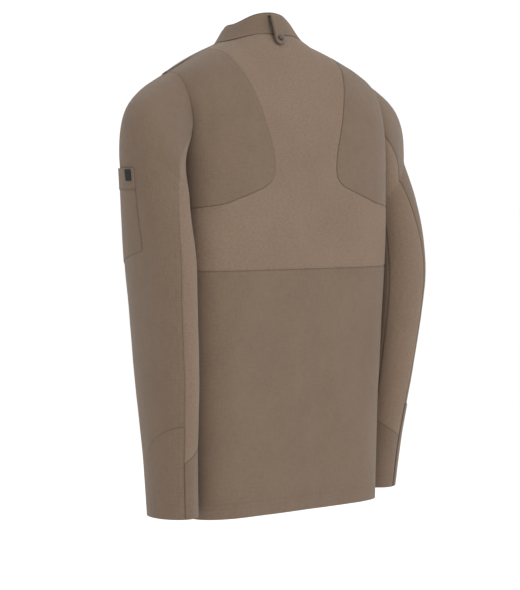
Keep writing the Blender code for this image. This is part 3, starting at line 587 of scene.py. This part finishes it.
def open_knit_group():
    """A knit of small staggered holes in horizontal courses."""
    group, given, out = new_group("open_knit", ["Cloth_vector"], ["Shade", "Height"])
    run = node(group, "ShaderNodeSeparateXYZ", Vector=given["Cloth_vector"]).outputs
    course = sum_of(group, "MULTIPLY", run[1], 2 * pi / 0.0034)
    loops = sum_of(group, "MULTIPLY", run[0], 2 * pi / 0.0018)
    holes = sum_of(group, "MULTIPLY", sum_of(group, "SINE", loops), sum_of(group, "SINE", course))
    open_part = node(group, "ShaderNodeMapRange", Value=holes, i1=0.35, i2=0.85).outputs[0]
    rib = sum_of(group, "SINE", sum_of(group, "MULTIPLY", course, 2.0))
    broad = node(group, "ShaderNodeTexNoise", Vector=given["Cloth_vector"], Scale=12.0, Detail=3.0)
    level_way = node(group, "ShaderNodeCombineXYZ", X=sum_of(group, "MULTIPLY", run[0], 190.0),
                     Y=sum_of(group, "MULTIPLY", run[1], 420.0))
    fine = node(group, "ShaderNodeTexNoise", Vector=level_way.outputs[0], Scale=1.0, Detail=2.0)
    shade = sum_of(group, "MULTIPLY_ADD", open_part, -0.26, 1.02)
    shade = sum_of(group, "MULTIPLY_ADD", rib, 0.022, shade)
    shade = sum_of(group, "MULTIPLY_ADD", sum_of(group, "SUBTRACT", broad.outputs[0], 0.5), 0.22, shade)
    shade = sum_of(group, "MULTIPLY_ADD", sum_of(group, "SUBTRACT", fine.outputs[0], 0.5), 0.55, shade)
    group.links.new(shade, out["Shade"])
    group.links.new(sum_of(group, "MULTIPLY_ADD", open_part, -2.6, rib), out["Height"])
    return group


knit = cloth_material("mesh_knit", open_knit_group(), KNIT, THREAD, 0.88, 0.8, 0.10)

SHOULDER_MARK_X = 0.112         # where the insert meets the shoulder seam
band_corner = (SIDE_SEAM_BACK, level_at(BAND_TOP_Z - 0.003))
hourglass = [band_corner] + [place(x, z) for x, z in (
    (0.165, -0.260), (0.130, -0.250), (0.101, -0.240), (0.076, -0.229), (0.0635, -0.212),
    (0.0645, -0.180), (0.0755, -0.140), (0.087, -0.100), (0.098, -0.065), (0.107, -0.038))]
hourglass.append((angle_at(SHOULDER_MARK_X, BLADE_Z), 2.0))
WAIST = 5 / (len(hourglass) - 1)        # share of the line at the narrowest point
hourglass_line = through(hourglass)
BAND_SHARE = 0.2                        # share of the insert's side taken by the side seam


def insert_side(t):
    if t < BAND_SHARE:
        return mix(band_side_low, band_corner, t / BAND_SHARE)
    return hourglass_line((t - BAND_SHARE) / (1 - BAND_SHARE))


def insert_top(s):
    """The neck seam from the centre back, then the shoulder seam."""
    if s < 0.8:
        return neck_edge(90 * s / 0.8)
    return mix(neck_edge(90), hourglass[-1], (s - 0.8) / 0.2)


insert_side, insert_top = lru_cache(None)(insert_side), lru_cache(None)(insert_top)
WAIST_SHARE = BAND_SHARE + (1 - BAND_SHARE) * WAIST


def insert_spot(s, t):
    """Level rows up to the narrow waist, then rows that bend into the line of the neck."""
    k = 2 * s - 1
    angle, level = insert_side(t)
    share = max((t - WAIST_SHARE) / (1 - WAIST_SHARE), 0.0)
    bend = share * share * (3 - 2 * share)
    top_angle, top_level = insert_top(abs(k))
    return (k * angle + bend * ((top_angle if k >= 0 else -top_angle) - k * hourglass[-1][0]),
            level + bend * (top_level - 2.0))


mesh_back = torso_panel("mesh_back", insert_spot, 0.46, 0.62, knit, stitched="")
hung(mesh_back, (0.47, 0.40), 0.105, "mesh_back_yoke")

# ---- Back shoulders ------------------------------------------------------------------------------
# Woven panels over the shoulder blades, from the hourglass seam out to the armhole and down to the
# mesh band. The seam allowance is pressed towards them and held by one row of stitches.
back_share = armhole_share(SIDE_SEAM_BACK)


def back_armhole(t):
    if t < 0.12:
        return mix(band_corner, armhole(back_share), t / 0.12)
    return armhole(back_share * (1 - (t - 0.12) / 0.88))


for side in ("left", "right"):
    shoulder = torso_panel(
        side + "_back_shoulder_cloth",
        inside(lambda s: hourglass_line(WAIST * (1 - s)),
               lambda s: mix(hourglass[-1], (TIP_BACK, 2.0), s),
               lambda t: hourglass_line(WAIST + (1 - WAIST) * t), back_armhole),
        0.14, 0.26, woven, stitched="lb", mirrored=side == "right")
    hung(shoulder, (0.16, 0.27), 0.033, side + "_back_shoulder")

# ---- Sides and front yokes ------------------------------------------------------------------------
# A narrow side panel under each arm and a yoke over each side of the chest, all of the same cloth.
# They are joined by plain seams with a single row of stitching.
FRONT_ARM_SHARE = 0.45
PLACKET_HALF = 0.020
NECK_END = 180 - degrees(acos((1 - (PLACKET_HALF / NECK_HALF) ** 2) ** 0.5))
front_share = armhole_share(SIDE_SEAM_FRONT, True)
neck_point = neck_edge(NECK_END)


def side_top(s):
    """Along the armhole under the arm, from the back seam to the front one."""
    if s < 0.5:
        return armhole(back_share + (1 - back_share) * s * 2)
    return armhole(1 + (front_share - 1) * (s - 0.5) * 2, True)


def front_seam(t):
    return mix((SIDE_SEAM_FRONT, 0.0), armhole(front_share, True), t)


def yoke_low(s):
    return mix(neck_point, armhole(FRONT_ARM_SHARE, True), s)


for side in ("left", "right"):
    mirrored = side == "right"
    under_arm = torso_panel(
        side + "_side_cloth",
        inside(lambda s: (SIDE_SEAM_BACK + 20 * s, 0.0), side_top,
               lambda t: mix((SIDE_SEAM_BACK, 0.0), armhole(back_share), t), front_seam),
        0.06, 0.49, woven, sewn="lrt", stitched="", mirrored=mirrored, hem=HEM_DEEP)
    hung(under_arm, (0.080, 0.56), 0.035, side + "_side_panel")
    yoke = torso_panel(
        side + "_front_yoke_cloth",
        inside(yoke_low, lambda s: mix((angle_at(NECK_HALF, BLADE_Z, True), 2.0), (TIP_FRONT, 2.0), s),
               lambda t: neck_edge(NECK_END + (90 - NECK_END) * t),
               lambda t: armhole(FRONT_ARM_SHARE * (1 - t), True)),
        0.18, 0.13, woven, stitched="b", mirrored=mirrored)
    hung(yoke, (0.20, 0.17), 0.021, side + "_front_yoke")

# ---- Fronts and plackets --------------------------------------------------------------------------
# Two front panels that open from the middle. The left one ends in a doubled placket that carries the snap
# caps and laps over the right one's. The cloth is sewn to the yoke.
UNDERLAP = 0.0050
STEP_SHARE = 0.16           # share of the placket's width over which it dips under the other
ALLOWANCE = 2.6             # degrees round the body that a front reaches under the side panel
SEAM_SHARE, SEAM_FADE = 0.8, 0.05              # how far up its edge the side seam runs and fades
TUCK_DEPTH, TUCK_FROM, TUCK_OVER = 0.0022, 0.955, 0.02


def front_outer(t):
    """Up the side seam, with the seam allowance under the side panel, then up the armhole."""
    if t < SEAM_SHARE:
        angle, level = front_seam(t / SEAM_SHARE)
        return angle - ALLOWANCE * min(1.0, (SEAM_SHARE - t) / SEAM_FADE), level
    return armhole(front_share + (FRONT_ARM_SHARE - front_share) * (t - SEAM_SHARE) / 0.2, True)


def tuck_under(s, t):
    """The front's outer edge dips to pass under the side panel, up to the armhole."""
    deep = -TUCK_DEPTH * min(max((s - TUCK_FROM) / TUCK_OVER, 0.0), 1.0)
    return deep * min(1.0, max(SEAM_SHARE - t, 0.0) / SEAM_FADE)


def placket_edge(x):
    """The line up the front that is x out, from the hem to the neck seam."""
    top = neck_edge(min(180 - degrees(acos((1 - (x / NECK_HALF) ** 2) ** 0.5)), 179.99))
    high = torso(*top).z

    def line(t):
        return place(x, HEM_Z + (high - 0.0006 - HEM_Z) * t, True) if t < 1 else top
    return line


def opening(piece):
    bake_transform(piece)


placket_line = placket_edge(PLACKET_HALF)
for side in ("left", "right"):
    mirrored = side == "right"
    front = torso_panel(
        side + "_front_cloth",
        inside(lambda s: mix(placket_line(0), (SIDE_SEAM_FRONT, 0.0), s), yoke_low, placket_line,
               front_outer),
        0.18, 0.60, woven, sewn="lt", stitched="", mirrored=mirrored, hem=HEM_DEEP,
        relief=tuck_under)
    hung(front, (0.21, 0.67), 0.128, side + "_front_panel", body=None)
    opening(front)

    def strip(s, t):
        angle, level = placket_line(t)
        middle = placket_edge(0.0)(t) if t in (0, 1) else (180.0, place(0.0, torso(angle, level).z, True)[1])
        if s <= 0.5:
            return mix((angle, level), (180.0, middle[1]), s * 2)
        return mix((180.0, middle[1]), (360 - angle, level), s * 2 - 1)

    def step_down(s, t):
        """The right placket dips from its own front to lie under the left one's."""
        share = min(s / STEP_SHARE, 1.0)
        return -UNDERLAP * share * share * (3 - 2 * share) if mirrored else 0.0004
    placket = torso_panel(side + "_placket_cloth", strip, 0.040, 0.635, woven, sewn="lr",
                          stitched="lr", thick=0.0016, mirrored=mirrored, hem=HEM_DEEP, relief=step_down)
    hung(placket, (0.045, 0.66), 0.0285, side + "_placket", body=None)
    opening(placket)

# ---- Snaps ---------------------------------------------------------------------------------------
# Pressed gunmetal caps on the left placket, each with a rolled rim and a dished middle, and the studs
# that they close on, in the right placket. A small pair of the same kind holds the collar tab.
GUNMETAL = (0.075, 0.070, 0.066)


def metal_material():
    made = bpy.data.materials.new("gunmetal")
    made.use_nodes = True
    tree = made.node_tree
    shader = tree.nodes["Principled BSDF"]
    shader.inputs["Metallic"].default_value = 0.9
    spots = node(tree, "ShaderNodeTexCoord").outputs["Object"]
    wear = node(tree, "ShaderNodeTexNoise", Vector=spots, Scale=900.0, Detail=3.0).outputs[0]
    tint = node(tree, "ShaderNodeMix", data_type="RGBA", i0=wear, i6=(*GUNMETAL, 1.0),
                i7=(*[2.1 * c for c in GUNMETAL], 1.0)).outputs[2]
    tree.links.new(tint, shader.inputs["Base Color"])
    tree.links.new(sum_of(tree, "MULTIPLY_ADD", wear, 0.25, 0.26), shader.inputs["Roughness"])
    tree.links.new(node(tree, "ShaderNodeBump", Strength=0.25, Distance=0.00005, Height=wear).outputs[0],
                   shader.inputs["Normal"])
    return made


gunmetal = metal_material()


def select_faces(mesh, wanted):
    for part in (mesh.vertices, mesh.edges, mesh.polygons):
        part.foreach_set("select", [False] * len(part))
    for face in mesh.polygons:
        face.select = wanted(face)


def pressed_snap(name, radius, height, dish):
    """A snap part on the ground, facing up: a bevelled disc whose middle is dished by that much."""
    bpy.ops.object.select_all(action="DESELECT")
    bpy.ops.mesh.primitive_cylinder_add(vertices=32, radius=radius, depth=height,
                                        location=(0, 0, height / 2))
    made = bpy.context.object
    made.name = name
    bpy.ops.object.transform_apply(location=True, rotation=False, scale=False)
    for inset, drop in ((radius * 0.14, 0.0), (radius * 0.10, -dish), (radius * 0.38, dish * 0.7)):
        select_faces(made.data, lambda face: face.normal.z > 0.9 and face.center.z > height * 0.2)
        bpy.ops.object.mode_set(mode="EDIT")
        bpy.ops.mesh.select_mode(type="FACE")
        bpy.ops.mesh.inset(thickness=inset, depth=0.0)
        bpy.ops.transform.translate(value=(0, 0, drop))
        bpy.ops.object.mode_set(mode="OBJECT")
    rounded = made.modifiers.new("rim", "BEVEL")
    rounded.width, rounded.segments, rounded.limit_method = height * 0.16, 3, "ANGLE"
    rounded.angle_limit = radians(35)
    bpy.ops.object.modifier_apply(modifier="rim")
    made.data.shade_smooth()
    made.data.set_sharp_from_angle(angle=radians(35))
    made.data.materials.append(gunmetal)
    return made


def place_snap(master, name, centre, way, base):
    """A copy of the snap with its back at centre, facing way, in place of a CAD node."""
    copy = bpy.data.objects.new(name, master.data.copy())
    scene.collection.objects.link(copy)
    turn = Vector(way).to_track_quat("Z", "Y").to_matrix().to_4x4()
    copy.data.transform(Matrix.Translation(centre) @ turn)
    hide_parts(base)
    return copy


def front_way(z):
    """The way the front faces at height z, on the middle line."""
    low, high = (torso(*place(0.0, z + k, True)) for k in (-0.01, 0.01))
    return Vector((0, low.z - high.z, high.y - low.y)).normalized()


cap, stud = pressed_snap("cap", 0.0075, 0.0026, 0.0007), pressed_snap("stud", 0.0050, 0.0022, 0.0005)
for number in range(1, 7):
    for side, kind, master, height in (("left", "cap", cap, 0.0026), ("right", "stud", stud, 0.0022)):
        base = "front_snap_%s_%d" % (kind, number)
        low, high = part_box(base)
        middle = (low + high) / 2
        way = front_way(min(middle.z, -0.12))
        snap = place_snap(master, "%s_snap_%s_%d" % (side, kind, number),
                          middle - way * height / 2, way, base)
        opening(snap)
for master in (cap, stud):
    bpy.data.objects.remove(master)

# ---- Stand collar ---------------------------------------------------------------------------------
# A low stand collar of two layers of the same cloth, stitched along its top edge and along the neck
# seam, that leans in towards the neck and meets at the front.
COLLAR_END, NECK_MIDDLE_Y, COLLAR_RISE, COLLAR_LEAN = 178.0, -0.020, 0.033, 0.79
COLLAR_BASE, FRONT_FALL, SIDE_FALL, FLARE, LINING_DEPTH = 0.0004, 0.006, 0.004, 0.030, 0.0027


def collar_point(turn, share, depth):
    """A point of the collar: share 0 at its seam, 1 at its top edge, depth inwards from its outside."""
    base = torso(*neck_edge(min(abs(turn), 179.99)))
    x, y = base.x * (1 if turn >= 0 else -1), base.y
    size = 1 + (COLLAR_LEAN - 1) * share + FLARE * max(1 - share, 0.0) ** 4
    out = Vector((x, y - NECK_MIDDLE_Y, 0)).normalized()
    rise = (COLLAR_RISE - FRONT_FALL * min(abs(turn) / 120, 1.0)
            - SIDE_FALL * sin(pi * min(abs(turn) / 150, 1.0)) ** 2)
    point = Vector((x * size, NECK_MIDDLE_Y + (y - NECK_MIDDLE_Y) * size,
                    base.z + COLLAR_BASE + rise * share))
    return point - out * depth


def collar_core(point):
    return 0.0, NECK_MIDDLE_Y, point[2]


for layer, depth, roll in (("outer", 0.0, -0.0018), ("inner", LINING_DEPTH + 0.0009, 0.0012)):
    collar = cloth("collar_%s_cloth" % layer,
                   lambda s, t: collar_point(COLLAR_END * (2 * s - 1), t * 1.07 - 0.06, depth),
                   0.34, 0.035, woven, collar_core, sewn="", stitched="bt", folds=[],
                   unevenness=(0.0007, 0.0003), relief=lambda s, t: roll * t ** 9)
    hung(collar, (0.44, 0.045), 0.0142, "collar_" + layer)

# ---- Collar tab and hanger loop --------------------------------------------------------------------
# A doubled strap sewn on at the top edge of the collar's centre back that hangs over the seam and is
# held by a small snap. Inside the neck a narrow tape is bowed into a loop to hang the jacket by.
TAB_HALF, TAB_ROUND = 0.0093, 0.0080
TAB_REACH = Vector((0.009, 0.029, -0.053))
TAB_WAY = Vector((0, -TAB_REACH.z, TAB_REACH.y)).normalized()
TAB_TOP = collar_point(0, 1.0, -0.0060) + Vector((0, 0, 0.002))
LOOP_HALF, LOOP_SAG, LOOP_BOW, LOOP_TAPE, LOOP_Z = 0.030, 0.014, 0.006, 0.003, 0.004
LOOP_Y = collar_point(0, 0.0, 0.0090).y


def tab_point(s, t):
    """Across the tab, and up from its rounded free end; its top rolls in over the collar's edge."""
    from_end = t * TAB_REACH.length
    short = max(1 - from_end / TAB_ROUND, 0.0)
    half = TAB_HALF * max(1 - short ** 2.4, 0.03) ** 0.5
    rolled = max(t - 0.88, 0.0) / 0.12
    return (TAB_TOP + TAB_REACH * (1 - t) - TAB_WAY * 0.0055 * rolled ** 2 - Vector((0, 0, 0.0030 * rolled))
            + Vector((half * (1 - 2 * s), 0, 0)))


tab = cloth("collar_tab_cloth", tab_point, 0.016, 0.061, woven, lambda p: Vector(p) - TAB_WAY,
            sewn="lrb", stitched="lr", folds=[], unevenness=(0.0004, 0.0001), thick=0.0022,
            relief=lambda s, t: 0.0004 + 0.0010 * sin(pi * t) ** 2)
hung(tab, (0.019, 0.062), 0.00114, "collar_tab", body=None)
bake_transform(tab)
for kind, radius, height, body in (("cap", 0.0048, 0.0022, "tab"), ("stud", 0.0040, 0.0025, "jacket")):
    master = pressed_snap(kind, radius, height, 0.0005)
    low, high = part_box("tab_snap_" + kind)
    snap = place_snap(master, "collar_snap_" + kind, (low + high) / 2 - TAB_WAY * height * 0.35, TAB_WAY,
                      "tab_snap_" + kind)
    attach(snap, body)
    bpy.data.objects.remove(master)


def loop_point(s, t):
    k = 2 * s - 1
    return Vector((LOOP_HALF * k, LOOP_Y - LOOP_BOW * (1 - k * k),
                   LOOP_Z - LOOP_SAG * (1 - k * k) + LOOP_TAPE * (2 * t - 1)))


loop = cloth("hanger_tape", loop_point, 0.068, 0.006, woven, lambda p: Vector(p) + Vector((0, -0.01, 0)),
             sewn="bt", stitched="", folds=[], unevenness=(0.0003, 0.0001), thick=0.0014)
hung(loop, (0.072, 0.010), 0.00060, "hanger_loop")

# ---- Sleeves --------------------------------------------------------------------------------------
# Long set-in sleeves of the woven cloth with a strip of the mesh knit down the underarm. The rounded
# head is sewn to the armhole.
CUFF_Z, SPLIT_Z = -0.725, -0.340
STRIP_LOW_Z, STRIP_HIGH_Z = -0.642, -0.612     # the strip's end slants up from its back seam
SLEEVE_OUT = ((-0.19, 0.251), (-0.26, 0.249), (-0.34, 0.242), (-0.40, 0.238), (-0.52, 0.231),
              (-0.64, 0.225), (CUFF_Z, 0.221))
SLEEVE_BACK = {
    "left": ((-0.19, 0.057), (-0.26, 0.062), (CUFF_Z, 0.064)),
    "right": ((-0.19, -0.007), (-0.26, 0.026), (-0.34, 0.045), (-0.40, 0.050), (-0.52, 0.038),
              (-0.64, 0.026), (CUFF_Z, 0.019)),
}
SEAM_TUCK = Vector((-0.0022, 0, 0.0004))      # the sleeve's edge lies under the armhole's
SLEEVE_WIDE = ((-0.19, 0.048), (-0.26, 0.046), (-0.40, 0.042), (-0.52, 0.039), (-0.64, 0.036),
               (CUFF_Z, 0.035))
SLEEVE_DEEP = ((-0.19, 0.052), (-0.26, 0.058), (-0.34, 0.068), (-0.40, 0.067), (-0.52, 0.063),
               (-0.64, 0.050), (CUFF_Z, 0.046))
STRIP_FROM = ((-0.20, 98.0), (-0.36, 76.0), (-0.632, 74.0))
STRIP_TO = 150.0
HEAD_SHARE = 0.52           # share of the upper piece's length below the rounded head
SLEEVE_FOLDS = {
    "left": [
        ((0.236, 0.132, -0.395), (0.282, 0.050, -0.420), 0.008, -0.0022),
        ((0.243, 0.131, -0.420), (0.283, 0.060, -0.436), 0.007, 0.0018),
        ((0.232, 0.130, -0.366), (0.262, 0.116, -0.372), 0.005, -0.0014),
        ((0.262, 0.112, -0.446), (0.238, 0.130, -0.452), 0.005, -0.0013),
        ((0.282, 0.040, -0.380), (0.262, 0.115, -0.352), 0.012, 0.0011),
        ((0.236, 0.118, -0.574), (0.262, 0.080, -0.590), 0.006, -0.0012),
        ((0.252, 0.094, -0.592), (0.262, 0.060, -0.612), 0.007, 0.0011),
        ((0.206, 0.100, -0.662), (0.236, 0.112, -0.668), 0.004, -0.0019),
        ((0.206, 0.100, -0.676), (0.234, 0.110, -0.682), 0.004, 0.0017),
        ((0.206, 0.100, -0.690), (0.232, 0.110, -0.695), 0.004, -0.0018),
        ((0.288, 0.085, -0.190), (0.276, 0.104, -0.330), 0.014, 0.0012),
        ((0.215, 0.090, -0.120), (0.262, 0.100, -0.170), 0.010, 0.0014),
        ((0.212, 0.098, -0.150), (0.240, 0.110, -0.215), 0.007, -0.0014),
    ],
    "right": [
        ((-0.236, 0.118, -0.395), (-0.282, 0.060, -0.415), 0.008, -0.0016),
        ((-0.240, 0.112, -0.440), (-0.278, 0.050, -0.450), 0.007, 0.0012),
        ((-0.210, 0.092, -0.560), (-0.246, 0.090, -0.572), 0.006, -0.0014),
        ((-0.205, 0.060, -0.590), (-0.240, 0.070, -0.600), 0.007, 0.0010),
        ((-0.205, 0.080, -0.480), (-0.236, 0.100, -0.440), 0.010, 0.0012),
    ],
}


def ring_point(side, around, z):
    """The sleeve's outline at height z: around 0 is outermost, 90 the back, 180 beside the body."""
    out, back = smooth(SLEEVE_OUT, z), smooth(SLEEVE_BACK[side], z)
    a = radians(around)
    return Vector((out + smooth(SLEEVE_WIDE, z) * cos(a), back + smooth(SLEEVE_DEEP, z) * sin(a), z))


def cap_level(around):
    """Height at which the rounded head of the sleeve ends and the tube starts."""
    return -0.215 + 0.045 * cos(radians(around))


def sleeve(side, around, reach):
    """A point of the sleeve: reach 0 to 1 is its rounded head, and below it reach - 1 is the depth."""
    around = around % 360
    if reach >= 1:
        return ring_point(side, around, cap_level(around) - (reach - 1))
    front = around > 180
    start = torso(*armhole((360 - around if front else around) / 180, front)) + SEAM_TUCK
    end = ring_point(side, around, cap_level(around))
    c, s = cos(radians(around)), sin(radians(around))
    way = Vector((0.60 + 0.28 * c, 0.30 * s, -0.62 + 0.16 * c)).normalized()
    pull = 0.034 + 0.026 * c
    first, second = start + way * pull, end + Vector((0, 0, pull + 0.006))
    return ((1 - reach) ** 3 * start + 3 * (1 - reach) ** 2 * reach * first
            + 3 * (1 - reach) * reach * reach * second + reach ** 3 * end)


def sleeve_at(side, around, z):
    return sleeve(side, around, 1 + cap_level(around % 360) - z)


def around_at(z, s, part):
    """The angle that is s of the way round the strip or the woven part at height z."""
    seam = smooth(STRIP_FROM, z)
    first, last = (seam, STRIP_TO) if part == "strip" else (STRIP_TO, seam + 360)
    return first + (last - first) * s


def head_point(side, part):
    def point(s, t):
        if t >= HEAD_SHARE:
            return sleeve(side, around_at(-0.20, s, part), (1 - t) / (1 - HEAD_SHARE))
        top = cap_level(around_at(-0.20, s, part))
        z = SPLIT_Z + (top - SPLIT_Z) * t / HEAD_SHARE
        return sleeve_at(side, around_at(z, s, part), z)
    return point


def strip_end(share):
    return STRIP_LOW_Z + (STRIP_HIGH_Z - STRIP_LOW_Z) * share


def tube_point(side, part):
    """From the slanting end of the strip up to the split at the elbow."""
    def point(s, t):
        low = strip_end(s if part == "strip" else 1 - s)
        z = low + (SPLIT_Z - low) * t
        return sleeve_at(side, around_at(z, s, part), z)
    return point


def sleeve_cloth(name, side, point, wide, high, finish, **facts):
    sign = 1 if side == "left" else -1
    return cloth(name, point, wide, high, finish,
                 lambda p: (sign * smooth(SLEEVE_OUT, p[2]), smooth(SLEEVE_BACK[side], p[2]), p[2]),
                 folds=SLEEVE_FOLDS[side], unevenness=(0.0013, 0.0004), mirrored=side == "right", **facts)


def lift_arm(piece):
    """Bakes the piece's placement into its mesh."""
    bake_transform(piece)


def bend_arm(piece):
    """Bakes the piece's placement into its mesh."""
    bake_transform(piece)


for side in ("left", "right"):
    for part, finish, wide, title, stitched, head_cut, arm_cut in (
            ("sleeve", woven, 0.28, "sleeve", "lr", ((0.31, 0.33), 0.071), ((0.30, 0.30), 0.0777)),
            ("strip", knit, 0.06, "mesh_strip", "", ((0.09, 0.23), 0.0105), ((0.065, 0.30), 0.0181))):
        head = sleeve_cloth("%s_%s_head" % (side, part), side, head_point(side, part), wide, 0.30, finish,
                            sewn="lr", stitched=stitched, calm=True)
        hung(head, *head_cut, "%s_upper_%s" % (side, title), body=None)
        lift_arm(head)
        tube = sleeve_cloth("%s_%s_arm" % (side, part), side,
                            tube_point(side, part), wide * 0.94, 0.292, finish,
                            sewn="lr" if part == "sleeve" else "lrb", stitched=stitched)
        hung(tube, *arm_cut, "%s_forearm_%s" % (side, title), body=None)
        bend_arm(tube)

# ---- Cuffs and forearm patches ----------------------------------------------------------------------
# Each sleeve ends in a plain band with a wide hem turned inside, and a patch with a rounded top is
# sewn over the outer back of the wrist.
PATCH_TOP_Z, PATCH_DROP, PATCH_FROM, PATCH_TO = -0.586, 0.034, 74.0, -2.0
CUFF_SEAM, CUFF_HEM = 74.0, 0.020


def patch_point(side):
    def point(s, t):
        high = PATCH_TOP_Z - PATCH_DROP * s ** 2.2 - CUFF_Z
        return sleeve_at(side, PATCH_FROM + (PATCH_TO - PATCH_FROM) * s, CUFF_Z + 0.001 + high * t)
    return point


def cuff_point(side):
    """Once round the sleeve from the seam at the strip, up to the slanting end of the strip."""
    def point(s, t):
        strip = (STRIP_TO - CUFF_SEAM) / 360
        high = strip_end(s / strip if s < strip else (1 - s) / (1 - strip))
        return sleeve_at(side, CUFF_SEAM + 360 * s, CUFF_Z + (high - CUFF_Z) * t)
    return point


for side in ("left", "right"):
    cuff = sleeve_cloth(side + "_cuff_cloth", side, cuff_point(side), 0.26, 0.093, woven, sewn="lr",
                        stitched="lr", hem=CUFF_HEM)
    hung(cuff, (0.27, 0.095), 0.0245, side + "_cuff", body=side + "_forearm")
    facing = sleeve_cloth(side + "_cuff_hem", side,
                          lambda s, t: sleeve_at(side, 360 * s, CUFF_Z + 0.0006 + 0.0234 * t),
                          0.25, 0.024, woven, sewn="", stitched="t", lift=-0.0016, thick=0.0009, closed=True)
    hung(facing, (0.27, 0.026), 0.0062, side + "_cuff_facing", body=side + "_forearm")
    patch = sleeve_cloth(side + "_patch_cloth", side, patch_point(side), 0.076, 0.125, woven,
                         sewn="lrt", stitched="lrt", lift=0.0014, thick=0.0012)
    hung(patch, (0.080, 0.140), 0.0080, side + "_forearm_patch", body=side + "_forearm")

# ---- Sleeve pocket --------------------------------------------------------------------------------
# A flat patch pocket on the outside of the left upper sleeve. Its mouth has a wide hem with a blank
# black label folded over the edge, and its lower edge slants down to the front.
POCKET_FROM, POCKET_TO = -70.0, 16.0
POCKET_TOP_Z, POCKET_LOW_BACK_Z, POCKET_LOW_FRONT_Z = -0.205, -0.326, -0.352
POCKET_BULGE, MOUTH_DEEP = 0.0008, 0.031
LABEL_FROM, LABEL_TO, LABEL_TOP_Z, LABEL_LOW_Z = -2.0, 11.0, -0.2065, -0.2235


def pocket_point(first, last, top_z, low_front_z, low_back_z):
    def point(s, t):
        low = low_front_z + (low_back_z - low_front_z) * s
        return sleeve_at("left", first + (last - first) * s, low + (top_z - low) * t)
    return point


def bulge_at(s, t=1.0):
    """How far the pocket stands off the sleeve; nothing at its sewn edges."""
    return POCKET_BULGE * sin(pi * min(max(s, 0.0), 1.0)) ** 0.7 * (1 - (1 - t) ** 3)


def label_share(s):
    return (LABEL_FROM + (LABEL_TO - LABEL_FROM) * s - POCKET_FROM) / (POCKET_TO - POCKET_FROM)


pocket = sleeve_cloth("pocket_cloth", "left",
                      pocket_point(POCKET_FROM, POCKET_TO, POCKET_TOP_Z, POCKET_LOW_FRONT_Z,
                                   POCKET_LOW_BACK_Z),
                      0.090, 0.135, woven, sewn="lrb", stitched="lrb", lift=0.0011, thick=0.0010,
                      relief=bulge_at)
hung(pocket, (0.095, 0.148), 0.0125, "sleeve_pocket", body="left_upper_arm")
mouth = sleeve_cloth("pocket_hem", "left",
                     pocket_point(POCKET_FROM, POCKET_TO, POCKET_TOP_Z + 0.0004, POCKET_TOP_Z - MOUTH_DEEP,
                                  POCKET_TOP_Z - MOUTH_DEEP),
                     0.090, 0.031, woven, sewn="lr", stitched="b", lift=0.0020, thick=0.0008,
                     relief=lambda s, t: bulge_at(s))
hung(mouth, (0.095, 0.034), 0.0029, "pocket_mouth_band", body="left_upper_arm")
BLACK = (0.010, 0.010, 0.011)
tape = cloth_material("black_label_tape", plain_weave, BLACK, (0.03, 0.03, 0.03), 0.6, 0.5, 0.0)
label = sleeve_cloth("blank_label", "left",
                     pocket_point(LABEL_FROM, LABEL_TO, LABEL_TOP_Z, LABEL_LOW_Z, LABEL_LOW_Z),
                     0.0145, 0.0165, tape, sewn="", stitched="lrbt", lift=0.0029, thick=0.0008,
                     relief=lambda s, t: bulge_at(label_share(s)))
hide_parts("sleeve_label")
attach(label, "left_upper_arm")
